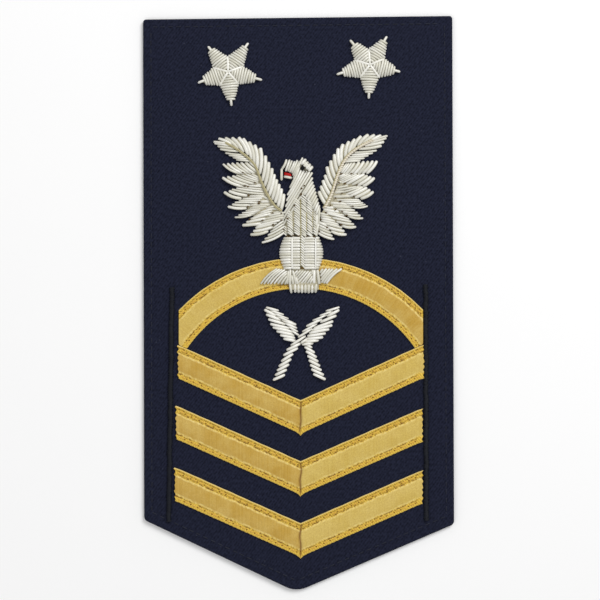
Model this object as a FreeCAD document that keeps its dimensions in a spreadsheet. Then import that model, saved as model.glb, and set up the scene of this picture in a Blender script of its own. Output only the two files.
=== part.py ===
import FreeCAD, Part
import math
import os
from collections import namedtuple

import Sketcher

# Rank chevron patch, lying face up. X runs to the right of the design, Y up it towards the
# straight top edge, and Z out of the face. The origin is the middle of the back, on the
# surface that the patch lies on. Lengths are in millimetres.

document = FreeCAD.newDocument("rank_chevron_patch")

# Driving dimensions: name, value, meaning
size_rows = (
    ("cloth_thickness", 1.1, "serge panel"),
    ("hem_thickness", 0.7, "edge of the serge turned to the back"),
    ("hem_width", 7.0, "how far the hem reaches in from the edge"),
    ("hem_corner_rise", 4.4, "rise of the hem's mitre at the two foot corners"),
    ("hem_point_rise", 7.7, "rise of the hem's mitre at the point"),
    ("fold_radius", 0.6, "rounding of the folded edge, front and back"),
    ("corner_radius", 1.2, "rounding of the four corners in plan"),
    ("point_radius", 4.0, "rounding of the point in plan"),
    ("top_left_x", -52.5, "corner of the panel"),
    ("top_left_y", 95.8, "corner of the panel"),
    ("top_right_x", 51.9, "corner of the panel"),
    ("top_right_y", 97.0, "corner of the panel"),
    ("foot_right_x", 52.5, "corner of the panel"),
    ("foot_right_y", -74.5, "corner of the panel"),
    ("point_x", -0.8, "point of the panel, before rounding"),
    ("point_y", -97.4, "point of the panel, before rounding"),
    ("foot_left_x", -52.1, "corner of the panel"),
    ("foot_left_y", -73.1, "corner of the panel"),
    ("laid_gap", 0.04, "clearance between pieces that lie on each other"),
    ("lace_edge_thickness", 0.6, "woven edges of the lace"),
    ("lace_trough_thickness", 0.42, "stitched groove inside each edge"),
    ("lace_dome_radius", 12.3, "curve of the satin middle of the lace"),
    ("lace_edge_rise", 2.1, "woven edge, measured up the patch"),
    ("lace_trough_rise", 0.3, "slope into the groove, measured up the patch"),
    ("chevron_rise", 11.2, "chevron lace, measured up the patch"),
    ("mitre_x", 0.7, "fold of the chevrons"),
    ("upper_chevron_y", -32.7, "top edge at the fold"),
    ("middle_chevron_y", -53.2, "top edge at the fold"),
    ("lower_chevron_y", -74.1, "top edge at the fold"),
    ("upper_left_end_x", -40.3, "cut end of the upper chevron"),
    ("upper_right_end_x", 41.9, "cut end of the upper chevron"),
    ("middle_left_end_x", -41.0, "cut end of the middle chevron"),
    ("middle_right_end_x", 41.5, "cut end of the middle chevron"),
    ("lower_left_end_x", -41.4, "cut end of the lower chevron"),
    ("lower_right_end_x", 41.5, "cut end of the lower chevron"),
    ("upper_slope", 0.454, "rise of the arms for each unit across"),
    ("middle_slope", 0.442, "rise of the arms for each unit across"),
    ("lower_slope", 0.442, "rise of the arms for each unit across"),
    ("rocker_x", 0.9, "centre of the rocker's curve"),
    ("rocker_y", -41.7, "centre of the rocker's curve"),
    ("rocker_outer_radius", 57.0, "outer edge of the rocker"),
    ("rocker_inner_radius", 46.7, "inner edge of the rocker"),
    ("rocker_sweep", 130.0, "degrees of lace before its ends are cut"),
    ("rocker_left_end_x", -40.2, "cut end of the rocker"),
    ("rocker_right_end_x", 41.8, "cut end of the rocker"),
    ("bar_width", 1.7, "satin-stitched side bars"),
    ("bar_height", 0.9, "side bars above the cloth"),
    ("bar_round", 0.4, "rounding along the bars"),
    ("bar_end_radius", 1.1, "curve of the bars' ends"),
    ("left_bar_top_x", -42.6, "left bar, middle of its top end"),
    ("left_bar_foot_x", -43.7, "left bar, middle of its foot"),
    ("right_bar_top_x", 42.8, "right bar, middle of its top end"),
    ("right_bar_foot_x", 43.1, "right bar, middle of its foot"),
    ("bar_top_y", 5.6, "top of both bars"),
    ("bar_foot_y", -73.2, "foot of both bars"),
    ("bullion_edge", 0.8, "thickness of the padded work at its rim"),
    ("star_crown", 2.1, "height of a star at its middle"),
    ("star_waist", 5.4, "centre of a star to the notch between two arms"),
    ("left_star_x", -23.7, "centre of the left star"),
    ("left_star_y", 77.8, "centre of the left star"),
    ("right_star_x", 24.0, "centre of the right star"),
    ("right_star_y", 80.2, "centre of the right star"),
    ("rib_width", 0.9, "cord along each wing"),
    ("rib_lift", 0.95, "underside of the cord above the cloth"),
    ("rib_crown", 0.9, "thickness of the cord"),
    ("feather_root_lap", 0.9, "how far a feather runs in under the coverts"),
    ("feather_side_lap", 0.25, "how far a feather's root overlaps its neighbour's"),
    ("eye_radius", 0.75, "eye stitch"),
    ("eye_height", 1.3, "eye stitch"),
    ("eye_x", 1.3, "centre of the eye"),
    ("eye_y", 45.6, "centre of the eye"),
    ("tongue_height", 1.0, "red stitches in the beak"),
)

sheet = document.addObject("Spreadsheet::Sheet", "sizes")
for row_number, (alias, amount, meaning) in enumerate(size_rows, start=1):
    sheet.set("A%d" % row_number, meaning)
    sheet.set("B%d" % row_number, str(amount))
    sheet.setAlias("B%d" % row_number, alias)
document.recompute()


def size(alias):
    return float(getattr(sheet, alias))


cloth_top = "(sizes.cloth_thickness + sizes.hem_thickness)"
laid_base = "(sizes.cloth_thickness + sizes.hem_thickness + sizes.laid_gap)"
base_z = size("cloth_thickness") + size("hem_thickness") + size("laid_gap")


# Sketches and bodies

def new_body(label):
    body = document.addObject("PartDesign::Body", label)
    body.Label = label
    return body


def new_sketch(body, name, plane_role, offset_expression):
    # A sketch on one of the body's own planes, moved along the plane's normal
    sketch = body.newObject("Sketcher::SketchObject", name)
    planes = [plane for plane in body.Origin.OriginFeatures if plane.Role == plane_role]
    sketch.AttachmentSupport = [(planes[0], "")]
    sketch.MapMode = "FlatFace"
    sketch.setExpression("AttachmentOffset.Base.z", offset_expression)
    return sketch


def outward_arc(start, finish, radius):
    # On an outline that runs anticlockwise, outwards is to the right of the way it runs
    chord = finish - start
    outward = FreeCAD.Vector(chord.y, -chord.x, 0).normalize()
    sagitta = radius - math.sqrt(radius ** 2 - chord.Length ** 2 / 4)
    return Part.Arc(start, start + chord * 0.5 + outward * sagitta, finish)


def draw_outline(sketch, corners, arc_radii=None):
    # A closed anticlockwise outline. Each corner is a pair of expressions, and arc_radii gives
    # the radius expression of each side that is an arc, by the number of its first corner.
    arc_radii = arc_radii or {}
    points = [FreeCAD.Vector(*[float(sketch.evalExpression(text)) for text in corner]) for corner in corners]
    first_side = sketch.GeometryCount
    ends = []
    for side, start in enumerate(points):
        finish = points[(side + 1) % len(points)]
        if side in arc_radii:
            radius = float(sketch.evalExpression(arc_radii[side]))
            index = sketch.addGeometry(outward_arc(start, finish, radius), False)
        else:
            index = sketch.addGeometry(Part.LineSegment(start, finish), False)
        # An arc is stored anticlockwise, so its ends may be the other way round
        kept_order = (sketch.Geometry[index].StartPoint - start).Length < 1e-6
        ends.append((index, 1, 2) if kept_order else (index, 2, 1))
    for side, (index, start_end, finish_end) in enumerate(ends):
        next_index, next_start_end = ends[(side + 1) % len(ends)][:2]
        sketch.addConstraint(Sketcher.Constraint("Coincident", index, finish_end, next_index, next_start_end))
        for kind, expression in zip(("DistanceX", "DistanceY"), corners[side]):
            bind(sketch, "corner_%d_%s" % (first_side + side, kind[-1].lower()),
                 Sketcher.Constraint(kind, -1, 1, index, start_end, float(sketch.evalExpression(expression))),
                 expression)
        if side in arc_radii:
            radius = float(sketch.evalExpression(arc_radii[side]))
            bind(sketch, "radius_%d" % (first_side + side),
                 Sketcher.Constraint("Radius", index, radius), arc_radii[side])


def bind(sketch, name, constraint, expression):
    number = sketch.addConstraint(constraint)
    sketch.renameConstraint(number, name)
    sketch.setExpression("Constraints." + name, expression)


def edges_at(shape, test):
    return ["Edge%d" % (number + 1) for number, edge in enumerate(shape.Edges) if test(edge)]


def add_fillet(body, base, name, edge_names, radius_expression):
    fillet = body.newObject("PartDesign::Fillet", name)
    fillet.Base = (base, edge_names)
    fillet.setExpression("Radius", radius_expression)
    document.recompute()
    return fillet


# Ground cloth: a pointed panel, thicker round its edge where the hem is turned to the back

def upright_edges_near(shape, x, y):
    def is_near(edge):
        bounds = edge.BoundBox
        flat_length = math.hypot(bounds.XLength, bounds.YLength)
        return flat_length < 1e-6 and math.hypot(bounds.XMin - x, bounds.YMin - y) < 0.01
    return edges_at(shape, is_near)


def make_ground_cloth():
    body = new_body("ground_cloth")
    outline = new_sketch(body, "cloth_outline", "XY_Plane", "0")
    corner_names = ("foot_left", "point", "foot_right", "top_right", "top_left")
    draw_outline(outline, [("sizes.%s_x" % name, "sizes.%s_y" % name) for name in corner_names])
    panel = body.newObject("PartDesign::Pad", "panel")
    panel.Profile = outline
    panel.setExpression("Length", cloth_top)

    recess_outline = new_sketch(body, "hem_inner_edge", "XY_Plane", "0")
    draw_outline(recess_outline, (
        ("sizes.foot_left_x + sizes.hem_width", "sizes.foot_left_y + sizes.hem_corner_rise"),
        ("sizes.point_x", "sizes.point_y + sizes.hem_point_rise"),
        ("sizes.foot_right_x - sizes.hem_width", "sizes.foot_right_y + sizes.hem_corner_rise"),
        ("sizes.top_right_x - sizes.hem_width", "sizes.top_right_y - sizes.hem_width"),
        ("sizes.top_left_x + sizes.hem_width", "sizes.top_left_y - sizes.hem_width"),
    ))
    recess = body.newObject("PartDesign::Pocket", "hem_recess")
    recess.Profile = recess_outline
    recess.Reversed = True
    recess.setExpression("Length", "sizes.hem_thickness")
    document.recompute()

    corner_edges = []
    for name in ("foot_left", "foot_right", "top_right", "top_left"):
        corner_edges += upright_edges_near(recess.Shape, size(name + "_x"), size(name + "_y"))
    corners = add_fillet(body, recess, "corners", corner_edges, "sizes.corner_radius")
    point_edges = upright_edges_near(corners.Shape, size("point_x"), size("point_y"))
    point = add_fillet(body, corners, "point", point_edges, "sizes.point_radius")

    def on_outer_fold(edge):
        # The flat edges of the outline, not those of the recess
        bounds = edge.BoundBox
        top = size("cloth_thickness") + size("hem_thickness")
        is_rim = bounds.ZLength < 1e-6 and (bounds.ZMin < 1e-6 or bounds.ZMin > top - 1e-6)
        middle = edge.valueAt((edge.FirstParameter + edge.LastParameter) / 2)
        return is_rim and not inside_recess(middle)

    add_fillet(body, point, "folded_edge", edges_at(point.Shape, on_outer_fold), "sizes.fold_radius")
    return body


def inside_recess(point):
    # True within the hem's inner edge and on it
    inset = size("hem_width") - 0.5
    side_limit = size("foot_right_x") - inset
    foot_slope = (size("foot_right_y") - size("point_y")) / (size("foot_right_x") - size("point_x"))
    foot_y = size("point_y") + foot_slope * abs(point.x - size("point_x")) + inset
    return abs(point.x) < side_limit and foot_y < point.y < size("top_left_y") - inset


# Gold lace: woven edges with a stitched groove inside each, and a domed satin middle

def lace_section(low_edge, high_edge, edge_width, groove_width):
    # Corners of the lace's cross-section, with across running from the low edge to the high
    edge_z = laid_base + " + sizes.lace_edge_thickness"
    groove_z = laid_base + " + sizes.lace_trough_thickness"
    return (
        (low_edge, laid_base),
        (high_edge, laid_base),
        (high_edge, edge_z),
        ("%s - %s" % (high_edge, edge_width), edge_z),
        ("%s - %s - %s" % (high_edge, edge_width, groove_width), groove_z),
        ("%s + %s + %s" % (low_edge, edge_width, groove_width), groove_z),
        ("%s + %s" % (low_edge, edge_width), edge_z),
        (low_edge, edge_z),
    )


dome_side = 4


def make_chevron(position):
    # Both arms are the same upright section, run out to the left and to the right
    body = new_body(position + "_chevron_lace")
    section = new_sketch(body, position + "_lace_section", "YZ_Plane", "sizes.mitre_x")
    high_edge = "sizes.%s_chevron_y" % position
    low_edge = "(sizes.%s_chevron_y - sizes.chevron_rise)" % position
    corners = lace_section(low_edge, high_edge, "sizes.lace_edge_rise", "sizes.lace_trough_rise")
    draw_outline(section, corners, {dome_side: "sizes.lace_dome_radius"})
    for side, sign in (("left", -1), ("right", 1)):
        arm = body.newObject("PartDesign::Pad", "%s_%s_arm" % (position, side))
        arm.Profile = section
        arm.UseCustomVector = True
        arm.Direction = FreeCAD.Vector(sign, size(position + "_slope"), 0)
        arm.AlongSketchNormal = True
        run = "%d * (sizes.%s_%s_end_x - sizes.mitre_x)" % (sign, position, side)
        arm.setExpression("Length", run)
        document.recompute()
    return body


def make_rocker():
    body = new_body("rocker_lace")
    section = new_sketch(body, "rocker_lace_section", "YZ_Plane", "sizes.rocker_x")
    high_edge = "(sizes.rocker_y + sizes.rocker_outer_radius)"
    low_edge = "(sizes.rocker_y + sizes.rocker_inner_radius)"
    edge_width = "sizes.lace_edge_rise * 0.91"
    corners = lace_section(low_edge, high_edge, edge_width, "sizes.lace_trough_rise")
    draw_outline(section, corners, {dome_side: "sizes.lace_dome_radius"})
    axis_length = 5
    start = FreeCAD.Vector(size("rocker_y"), 0, 0)
    axis = sketch_axis(section, start, axis_length)
    for end, height in ((1, 0), (2, axis_length)):
        bind(section, "axis_across_%d" % end,
             Sketcher.Constraint("DistanceX", -1, 1, axis, end, size("rocker_y")), "sizes.rocker_y")
        if height:
            section.addConstraint(Sketcher.Constraint("DistanceY", axis, 1, axis, end, height))
    section.addConstraint(Sketcher.Constraint("PointOnObject", axis, 1, -1))
    band = body.newObject("PartDesign::Revolution", "rocker_band")
    band.Profile = section
    band.ReferenceAxis = (section, ["Axis0"])
    band.Midplane = True
    band.setExpression("Angle", "sizes.rocker_sweep")
    document.recompute()

    # The ends are cut upright and tucked in above the upper chevron
    trimming = new_sketch(body, "rocker_ends", "XY_Plane", "0")
    far = "90"
    draw_outline(trimming, (("-" + far, "-" + far), (far, "-" + far), (far, far), ("-" + far, far)))
    left_run = "(sizes.mitre_x - sizes.rocker_left_end_x)"
    right_run = "(sizes.rocker_right_end_x - sizes.mitre_x)"
    fold_y = "sizes.upper_chevron_y + 2 * sizes.laid_gap"
    draw_outline(trimming, (
        ("sizes.mitre_x", fold_y),
        ("sizes.rocker_right_end_x", "%s + sizes.upper_slope * %s" % (fold_y, right_run)),
        ("sizes.rocker_right_end_x", "sizes.top_left_y / 2"),
        ("sizes.rocker_left_end_x", "sizes.top_left_y / 2"),
        ("sizes.rocker_left_end_x", "%s + sizes.upper_slope * %s" % (fold_y, left_run)),
    ))
    cut = body.newObject("PartDesign::Pocket", "rocker_end_cuts")
    cut.Profile = trimming
    cut.Reversed = True
    cut.Type = "ThroughAll"
    document.recompute()
    return body


def sketch_axis(sketch, start, length):
    finish = start + FreeCAD.Vector(0, length, 0)
    return sketch.addGeometry(Part.LineSegment(start, finish), True)


# Side bars: black satin stitch over a thick core

def make_side_bar(side):
    body = new_body(side + "_side_bar")
    outline = new_sketch(body, side + "_bar_outline", "XY_Plane", laid_base)
    top_x = "sizes.%s_bar_top_x" % side
    foot_x = "sizes.%s_bar_foot_x" % side
    half_width = "sizes.bar_width / 2"
    draw_outline(outline, (
        ("%s - %s" % (foot_x, half_width), "sizes.bar_foot_y"),
        ("%s + %s" % (foot_x, half_width), "sizes.bar_foot_y"),
        ("%s + %s" % (top_x, half_width), "sizes.bar_top_y"),
        ("%s - %s" % (top_x, half_width), "sizes.bar_top_y"),
    ), {0: "sizes.bar_end_radius", 2: "sizes.bar_end_radius"})
    column = body.newObject("PartDesign::Pad", side + "_bar_column")
    column.Profile = outline
    column.setExpression("Length", "sizes.bar_height")
    document.recompute()
    top_z = base_z + size("bar_height")
    top_edges = edges_at(column.Shape, lambda edge: edge.BoundBox.ZMin > top_z - 1e-6)
    add_fillet(body, column, side + "_bar_rounding", top_edges, "sizes.bar_round")
    return body


# Padded bullion: each piece is one or more strips, and a strip is a row of cross-sections.
# A cross-section crosses the strip from a left point to a right point, with flat sides and a
# domed top whose middle stands crown above the cloth.

Section = namedtuple("Section", "left_x left_y right_x right_y crown")
dome_shares = ((0.0, None), (0.2, 0.82), (0.5, 1.0), (0.8, 0.82), (1.0, None))


def grown(sections, margin):
    # The same strip, wider and longer by a margin on every side
    if not margin:
        return list(sections)
    rows = []
    for row in sections:
        across = FreeCAD.Vector(row.right_x - row.left_x, row.right_y - row.left_y, 0).normalize() * margin
        rows.append(Section(row.left_x - across.x, row.left_y - across.y,
                            row.right_x + across.x, row.right_y + across.y, row.crown + margin))
    for end, neighbour in ((0, 1), (-1, -2)):
        run = middle_of(rows[end]) - middle_of(rows[neighbour])
        run = run.normalize() * margin
        row = rows[end]
        rows[end] = Section(row.left_x + run.x, row.left_y + run.y,
                            row.right_x + run.x, row.right_y + run.y, row.crown)
    return rows


def middle_of(row):
    return FreeCAD.Vector((row.left_x + row.right_x) / 2, (row.left_y + row.right_y) / 2, 0)


def closed_solid(faces):
    solid = Part.makeSolid(Part.makeShell([Part.Face(Part.makePolygon(face + face[:1])) for face in faces]))
    if solid.Volume < 0:
        solid.reverse()
    return solid


def padded_strip(sections, margin=0.0, lift=0.0, rim=None):
    # Flat underside, upright sides and a faceted domed top
    rows = grown(sections, margin)
    floor_z = base_z + lift
    rim_height = size("bullion_edge") if rim is None else rim
    floors = []
    tops = []
    for row in rows:
        left = FreeCAD.Vector(row.left_x, row.left_y, floor_z)
        right = FreeCAD.Vector(row.right_x, row.right_y, floor_z)
        floors.append((left, right))
        tops.append([left + (right - left) * share + FreeCAD.Vector(0, 0, height_at(row, rise, rim_height))
                     for share, rise in dome_shares])
    faces = [[left for left, right in floors] + [right for left, right in reversed(floors)]]
    for end in (0, -1):
        faces.append([floors[end][0]] + tops[end] + [floors[end][1]])
    for index in range(len(rows) - 1):
        for side, point in ((0, 0), (1, -1)):
            faces.append([floors[index][side], floors[index + 1][side],
                          tops[index + 1][point], tops[index][point]])
        for point in range(len(dome_shares) - 1):
            near, near_next = tops[index][point:point + 2]
            far, far_next = tops[index + 1][point:point + 2]
            faces.append([near, near_next, far])
            faces.append([near_next, far_next, far])
    return closed_solid(faces)


def height_at(row, rise, rim_height):
    return min(rim_height, row.crown) if rise is None else row.crown * rise


def fused(shapes):
    if len(shapes) == 1:
        return shapes[0]
    return shapes[0].multiFuse(shapes[1:]).removeSplitter()


def strip_rows(rows):
    return [Section(*row) for row in rows]


def new_feature(label, shape):
    feature = document.addObject("Part::Feature", label)
    feature.Label = label
    feature.Shape = shape.Solids[0] if len(shape.Solids) == 1 else shape
    feature.Placement = FreeCAD.Placement()
    return feature


# Stars: five uneven arms, ridged from the middle to each tip

StarArm = namedtuple("StarArm", "degrees reach")
star_arms = {
    "left": (StarArm(-84, 11.3), StarArm(-13, 11.6), StarArm(55, 11.9), StarArm(128, 11.0), StarArm(199, 10.7)),
    "right": (StarArm(-92, 11.2), StarArm(-12, 10.4), StarArm(59, 11.2), StarArm(128, 10.7), StarArm(196, 11.5)),
}


def make_star(side):
    centre = FreeCAD.Vector(size(side + "_star_x"), size(side + "_star_y"), base_z)
    crown = size("star_crown")
    rim = size("bullion_edge")
    up = FreeCAD.Vector(0, 0, 1)

    def plan_point(degrees, reach):
        turn = math.radians(degrees)
        return centre + FreeCAD.Vector(math.cos(turn), math.sin(turn), 0) * reach

    arms = star_arms[side]
    top_middle = centre + up * crown
    faces = []
    floor = []
    for number, arm in enumerate(arms):
        before = arms[number - 1].degrees - (360 if number == 0 else 0)
        after = arms[(number + 1) % len(arms)].degrees + (360 if number == len(arms) - 1 else 0)
        notch_before = plan_point((before + arm.degrees) / 2, size("star_waist"))
        notch_after = plan_point((arm.degrees + after) / 2, size("star_waist"))
        tip = plan_point(arm.degrees, arm.reach)
        ridge = plan_point(arm.degrees, size("star_waist")) + up * crown * 0.85
        tip_top = tip + up * rim
        for notch in (notch_before, notch_after):
            notch_top = notch + up * rim
            faces.append([notch, tip, tip_top, notch_top])
            faces.append([top_middle, ridge, notch_top])
            faces.append([ridge, tip_top, notch_top])
        floor += [notch_before, tip]
    faces.append(floor)
    return new_feature(side + "_star", closed_solid(faces))


# Wings: coverts above the rib, a fringe under the wing tip, and eight feather lobes below.
# A lobe runs from its outer end, between the tip of its longest strand and its shoulder, to
# its root on the rib. Its lower side bows downwards.

FeatherLobe = namedtuple("FeatherLobe", "tip_x tip_y shoulder_x shoulder_y low_x low_y high_x high_y bow")

coverts = {
    # rib_x, rib_y, edge_x, edge_y, crown
    "left": strip_rows((
        (-27.6, 54.1, -27.8, 55.2, 0.9),
        (-24.1, 53.5, -22.4, 55.7, 1.2),
        (-20.1, 51.6, -17.7, 55.0, 1.5),
        (-16.3, 49.1, -12.7, 52.0, 1.6),
        (-13.5, 45.6, -9.6, 47.6, 1.6),
        (-11.7, 41.1, -7.9, 42.6, 1.6),
        (-10.1, 37.4, -6.3, 38.5, 1.6),
        (-8.3, 33.3, -4.7, 35.8, 1.5),
        (-5.8, 31.5, -4.2, 34.2, 1.4),
    )),
    "right": strip_rows((
        (28.9, 55.8, 29.6, 56.8, 0.9),
        (24.8, 54.7, 23.6, 56.8, 1.2),
        (20.4, 52.6, 18.3, 55.7, 1.5),
        (17.0, 50.0, 14.0, 53.0, 1.6),
        (14.3, 46.4, 10.6, 48.5, 1.6),
        (12.9, 42.9, 9.3, 44.6, 1.6),
        (11.7, 39.4, 8.0, 40.9, 1.6),
        (10.1, 35.3, 7.0, 37.9, 1.5),
        (8.3, 32.7, 6.6, 35.2, 1.4),
    )),
}

tip_fringe = {
    # rib_x, rib_y, edge_x, edge_y, crown
    "left": strip_rows((
        (-27.4, 54.6, -28.3, 53.7, 0.9),
        (-23.8, 53.9, -26.8, 52.2, 1.2),
        (-19.8, 52.0, -23.4, 49.3, 1.3),
        (-17.3, 50.4, -19.8, 47.3, 1.2),
    )),
    "right": strip_rows((
        (28.9, 56.1, 29.6, 55.2, 0.9),
        (25.0, 55.2, 27.8, 52.7, 1.2),
        (21.0, 53.3, 25.1, 50.5, 1.3),
        (17.4, 50.9, 22.2, 47.6, 1.2),
    )),
}

feather_lobes = {
    # tip_x, tip_y, shoulder_x, shoulder_y, low_x, low_y, high_x, high_y, bow
    "left": [FeatherLobe(*row) for row in (
        (-25.3, 47.2, -20.4, 47.6, -14.4, 44.3, -17.7, 49.5, 1.7),
        (-25.4, 42.3, -20.4, 43.4, -12.7, 40.6, -14.4, 44.3, 2.0),
        (-24.8, 37.4, -19.7, 39.4, -11.2, 36.5, -12.7, 40.6, 1.8),
        (-23.6, 32.5, -19.4, 35.2, -9.8, 34.3, -11.2, 36.5, 1.4),
        (-21.4, 29.0, -18.7, 31.6, -8.6, 32.5, -9.8, 34.3, 1.2),
        (-18.8, 26.2, -15.7, 28.9, -6.3, 30.4, -8.6, 32.5, 1.0),
        (-16.0, 23.3, -13.3, 26.2, -5.4, 28.4, -6.3, 30.4, 1.2),
        (-12.2, 20.4, -9.3, 24.4, -5.4, 24.4, -5.4, 28.4, 0.9),
    )],
    "right": [FeatherLobe(*row) for row in (
        (26.4, 48.0, 19.7, 47.8, 14.1, 43.6, 17.7, 50.2, 1.8),
        (25.6, 42.3, 20.4, 44.3, 13.0, 40.1, 14.1, 43.6, 2.0),
        (25.2, 37.6, 21.4, 39.2, 11.8, 37.4, 13.0, 40.1, 1.5),
        (23.5, 32.7, 20.4, 35.0, 10.9, 35.3, 11.8, 37.4, 1.4),
        (21.9, 28.8, 18.0, 32.3, 9.8, 33.1, 10.9, 35.3, 1.2),
        (19.4, 25.8, 17.0, 28.3, 8.4, 31.3, 9.8, 33.1, 1.2),
        (16.2, 23.2, 14.0, 25.4, 7.7, 28.8, 8.4, 31.3, 1.0),
        (12.1, 21.3, 10.9, 23.6, 7.6, 23.9, 7.7, 28.8, 0.6),
    )],
}

wing_ribs = {
    # x, y
    "left": ((-27.0, 54.4), (-24.1, 53.6), (-20.1, 51.7), (-16.4, 49.2), (-13.6, 45.6), (-11.8, 41.1),
             (-10.2, 37.4), (-8.4, 33.6), (-6.2, 31.8)),
    "right": ((27.6, 55.9), (24.8, 54.9), (20.4, 52.8), (16.9, 50.1), (14.4, 46.4), (13.0, 42.9),
              (11.8, 39.4), (10.2, 35.6), (8.8, 33.4)),
}

lobe_stations = ((0.0, 0.95), (0.35, 1.4), (0.7, 1.5), (1.0, 1.3))


def lobe_sections(lobe):
    # Both sides are shallow parabolas, and the root is run in under the coverts
    tip = FreeCAD.Vector(lobe.tip_x, lobe.tip_y, 0)
    shoulder = FreeCAD.Vector(lobe.shoulder_x, lobe.shoulder_y, 0)
    low = FreeCAD.Vector(lobe.low_x, lobe.low_y, 0)
    high = FreeCAD.Vector(lobe.high_x, lobe.high_y, 0)
    root_side = (low - high).normalize() * size("feather_side_lap")
    inward = (low + high - tip - shoulder).normalize() * size("feather_root_lap")
    low = low + root_side + inward
    high = high - root_side + inward
    rows = []
    for share, crown in lobe_stations:
        sag = 4 * share * (1 - share) * lobe.bow
        near = tip + (low - tip) * share - FreeCAD.Vector(0, sag, 0)
        far = shoulder + (high - shoulder) * share - FreeCAD.Vector(0, sag * 0.25, 0)
        rows.append(Section(near.x, near.y, far.x, far.y, crown))
    return rows


def rib_sections(points, crown):
    # A cord of even width along a row of points
    half_width = size("rib_width") / 2
    vectors = [FreeCAD.Vector(x, y, 0) for x, y in points]
    rows = []
    for index, point in enumerate(vectors):
        run = vectors[min(index + 1, len(vectors) - 1)] - vectors[max(index - 1, 0)]
        across = FreeCAD.Vector(-run.y, run.x, 0).normalize() * half_width
        left = point - across
        right = point + across
        rows.append(Section(left.x, left.y, right.x, right.y, crown))
    return rows


def make_wing(side, neighbours):
    gap = size("laid_gap")
    strips = [padded_strip(coverts[side]), padded_strip(tip_fringe[side])]
    strips += [padded_strip(lobe_sections(lobe)) for lobe in feather_lobes[side]]
    wing = fused(strips)
    groove = padded_strip(rib_sections(wing_ribs[side], 2 * size("rib_crown")), gap, size("rib_lift") - gap,
                          rim=2 * size("rib_crown"))
    for neighbour in [groove] + neighbours:
        wing = wing.cut(neighbour)
    return new_feature(side + "_wing", wing)


def make_rib(side, neighbours):
    rib = padded_strip(rib_sections(wing_ribs[side], size("rib_crown")), 0.0, size("rib_lift"),
                       rim=size("rib_crown") * 0.55)
    for neighbour in neighbours:
        rib = rib.cut(neighbour)
    return new_feature(side + "_wing_rib", rib)


# Body of the eagle: left_x, left_y, right_x, right_y, crown for each cross-section

breast_rows = strip_rows((
    (-0.5, 36.2, 2.5, 36.4, 1.7),
    (-2.4, 33.1, 4.9, 33.1, 2.1),
    (-3.4, 30.8, 5.9, 30.8, 2.4),
    (-4.6, 27.4, 7.0, 27.4, 2.6),
    (-4.9, 24.7, 7.0, 24.7, 2.5),
    (-4.6, 22.5, 6.6, 22.5, 2.2),
))
skull_rows = strip_rows((
    (-4.1, 48.5, -5.2, 44.5, 1.3),
    (-1.9, 48.3, -3.4, 44.2, 1.6),
    (-0.2, 48.6, -2.1, 42.4, 1.7),
    (1.7, 49.2, -0.9, 40.9, 1.8),
    (3.5, 47.9, 1.2, 40.6, 1.8),
    (4.8, 45.9, 3.9, 40.6, 1.5),
))
hooked_bill_rows = strip_rows((
    (-4.6, 48.3, -3.6, 47.9, 1.2),
    (-5.7, 45.3, -4.7, 45.1, 1.1),
    (-6.2, 43.3, -5.3, 43.3, 1.0),
    (-5.9, 41.2, -5.1, 41.2, 0.9),
))
lower_bill_rows = strip_rows((
    (-4.9, 42.6, -4.9, 41.9, 0.9),
    (-1.6, 42.0, -1.6, 41.3, 0.9),
))
neck_rows = strip_rows((
    (-1.9, 42.0, 4.9, 42.2, 1.8),
    (-2.7, 38.4, 5.4, 38.5, 1.9),
    (-3.7, 35.8, 6.3, 36.2, 1.9),
    (-4.6, 33.1, 7.1, 33.5, 1.8),
    (-4.9, 29.9, 7.3, 30.6, 1.5),
))
belly_rows = strip_rows((
    (-4.9, 22.1, 7.0, 22.1, 2.2),
    (-5.9, 20.3, 7.7, 20.3, 2.4),
    (-6.4, 18.0, 8.3, 18.0, 2.5),
    (-6.3, 15.6, 8.2, 15.6, 2.5),
    (-5.5, 13.6, 7.6, 13.6, 2.4),
    (-5.2, 11.9, 7.4, 11.9, 2.2),
))
left_talon_rows = strip_rows((
    (-12.3, 6.1, -12.8, 6.9, 1.7),
    (-10.5, 6.3, -11.2, 8.7, 1.9),
    (-8.3, 6.5, -8.6, 10.8, 2.1),
    (-5.8, 5.9, -7.1, 11.5, 2.2),
    (-3.5, 7.2, -3.6, 11.6, 2.1),
))
right_talon_rows = strip_rows((
    (6.9, 6.6, 7.0, 11.6, 2.1),
    (9.3, 6.5, 9.3, 11.6, 2.2),
    (11.3, 7.5, 11.6, 11.7, 2.1),
    (13.1, 9.0, 13.3, 11.8, 1.9),
    (14.3, 11.0, 14.7, 11.9, 1.7),
))
perch_rows = strip_rows((
    (-3.2, 11.6, 6.6, 11.6, 2.0),
    (-3.2, 9.2, 6.6, 9.2, 2.1),
    (-3.2, 6.6, 6.6, 6.6, 1.9),
))
tail_rows = strip_rows((
    (-3.3, 6.3, 6.4, 6.3, 1.7),
    (-3.4, 4.8, 6.5, 4.8, 1.6),
    (-2.6, 3.2, 6.1, 3.2, 1.2),
))
tongue_outline = ((-4.8, 42.75), (-2.5, 42.5), (-3.3, 43.9), (-4.8, 44.05))


def lace_clearance():
    # The strip of space over the cloth that the rocker fills, for what is worked on top of it
    gap = size("laid_gap")
    centre = FreeCAD.Vector(size("rocker_x"), size("rocker_y"), 0)
    chord = size("rocker_outer_radius") - size("rocker_inner_radius")
    chord -= 2 * (size("lace_edge_rise") * 0.91 + size("lace_trough_rise"))
    radius = size("lace_dome_radius")
    dome_rise = radius - math.sqrt(radius ** 2 - chord ** 2 / 4)
    top = base_z + size("lace_trough_thickness") + dome_rise + gap
    outer = Part.makeCylinder(size("rocker_outer_radius") + gap, top, centre)
    return outer.cut(Part.makeCylinder(size("rocker_inner_radius") - gap, top, centre))


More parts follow.
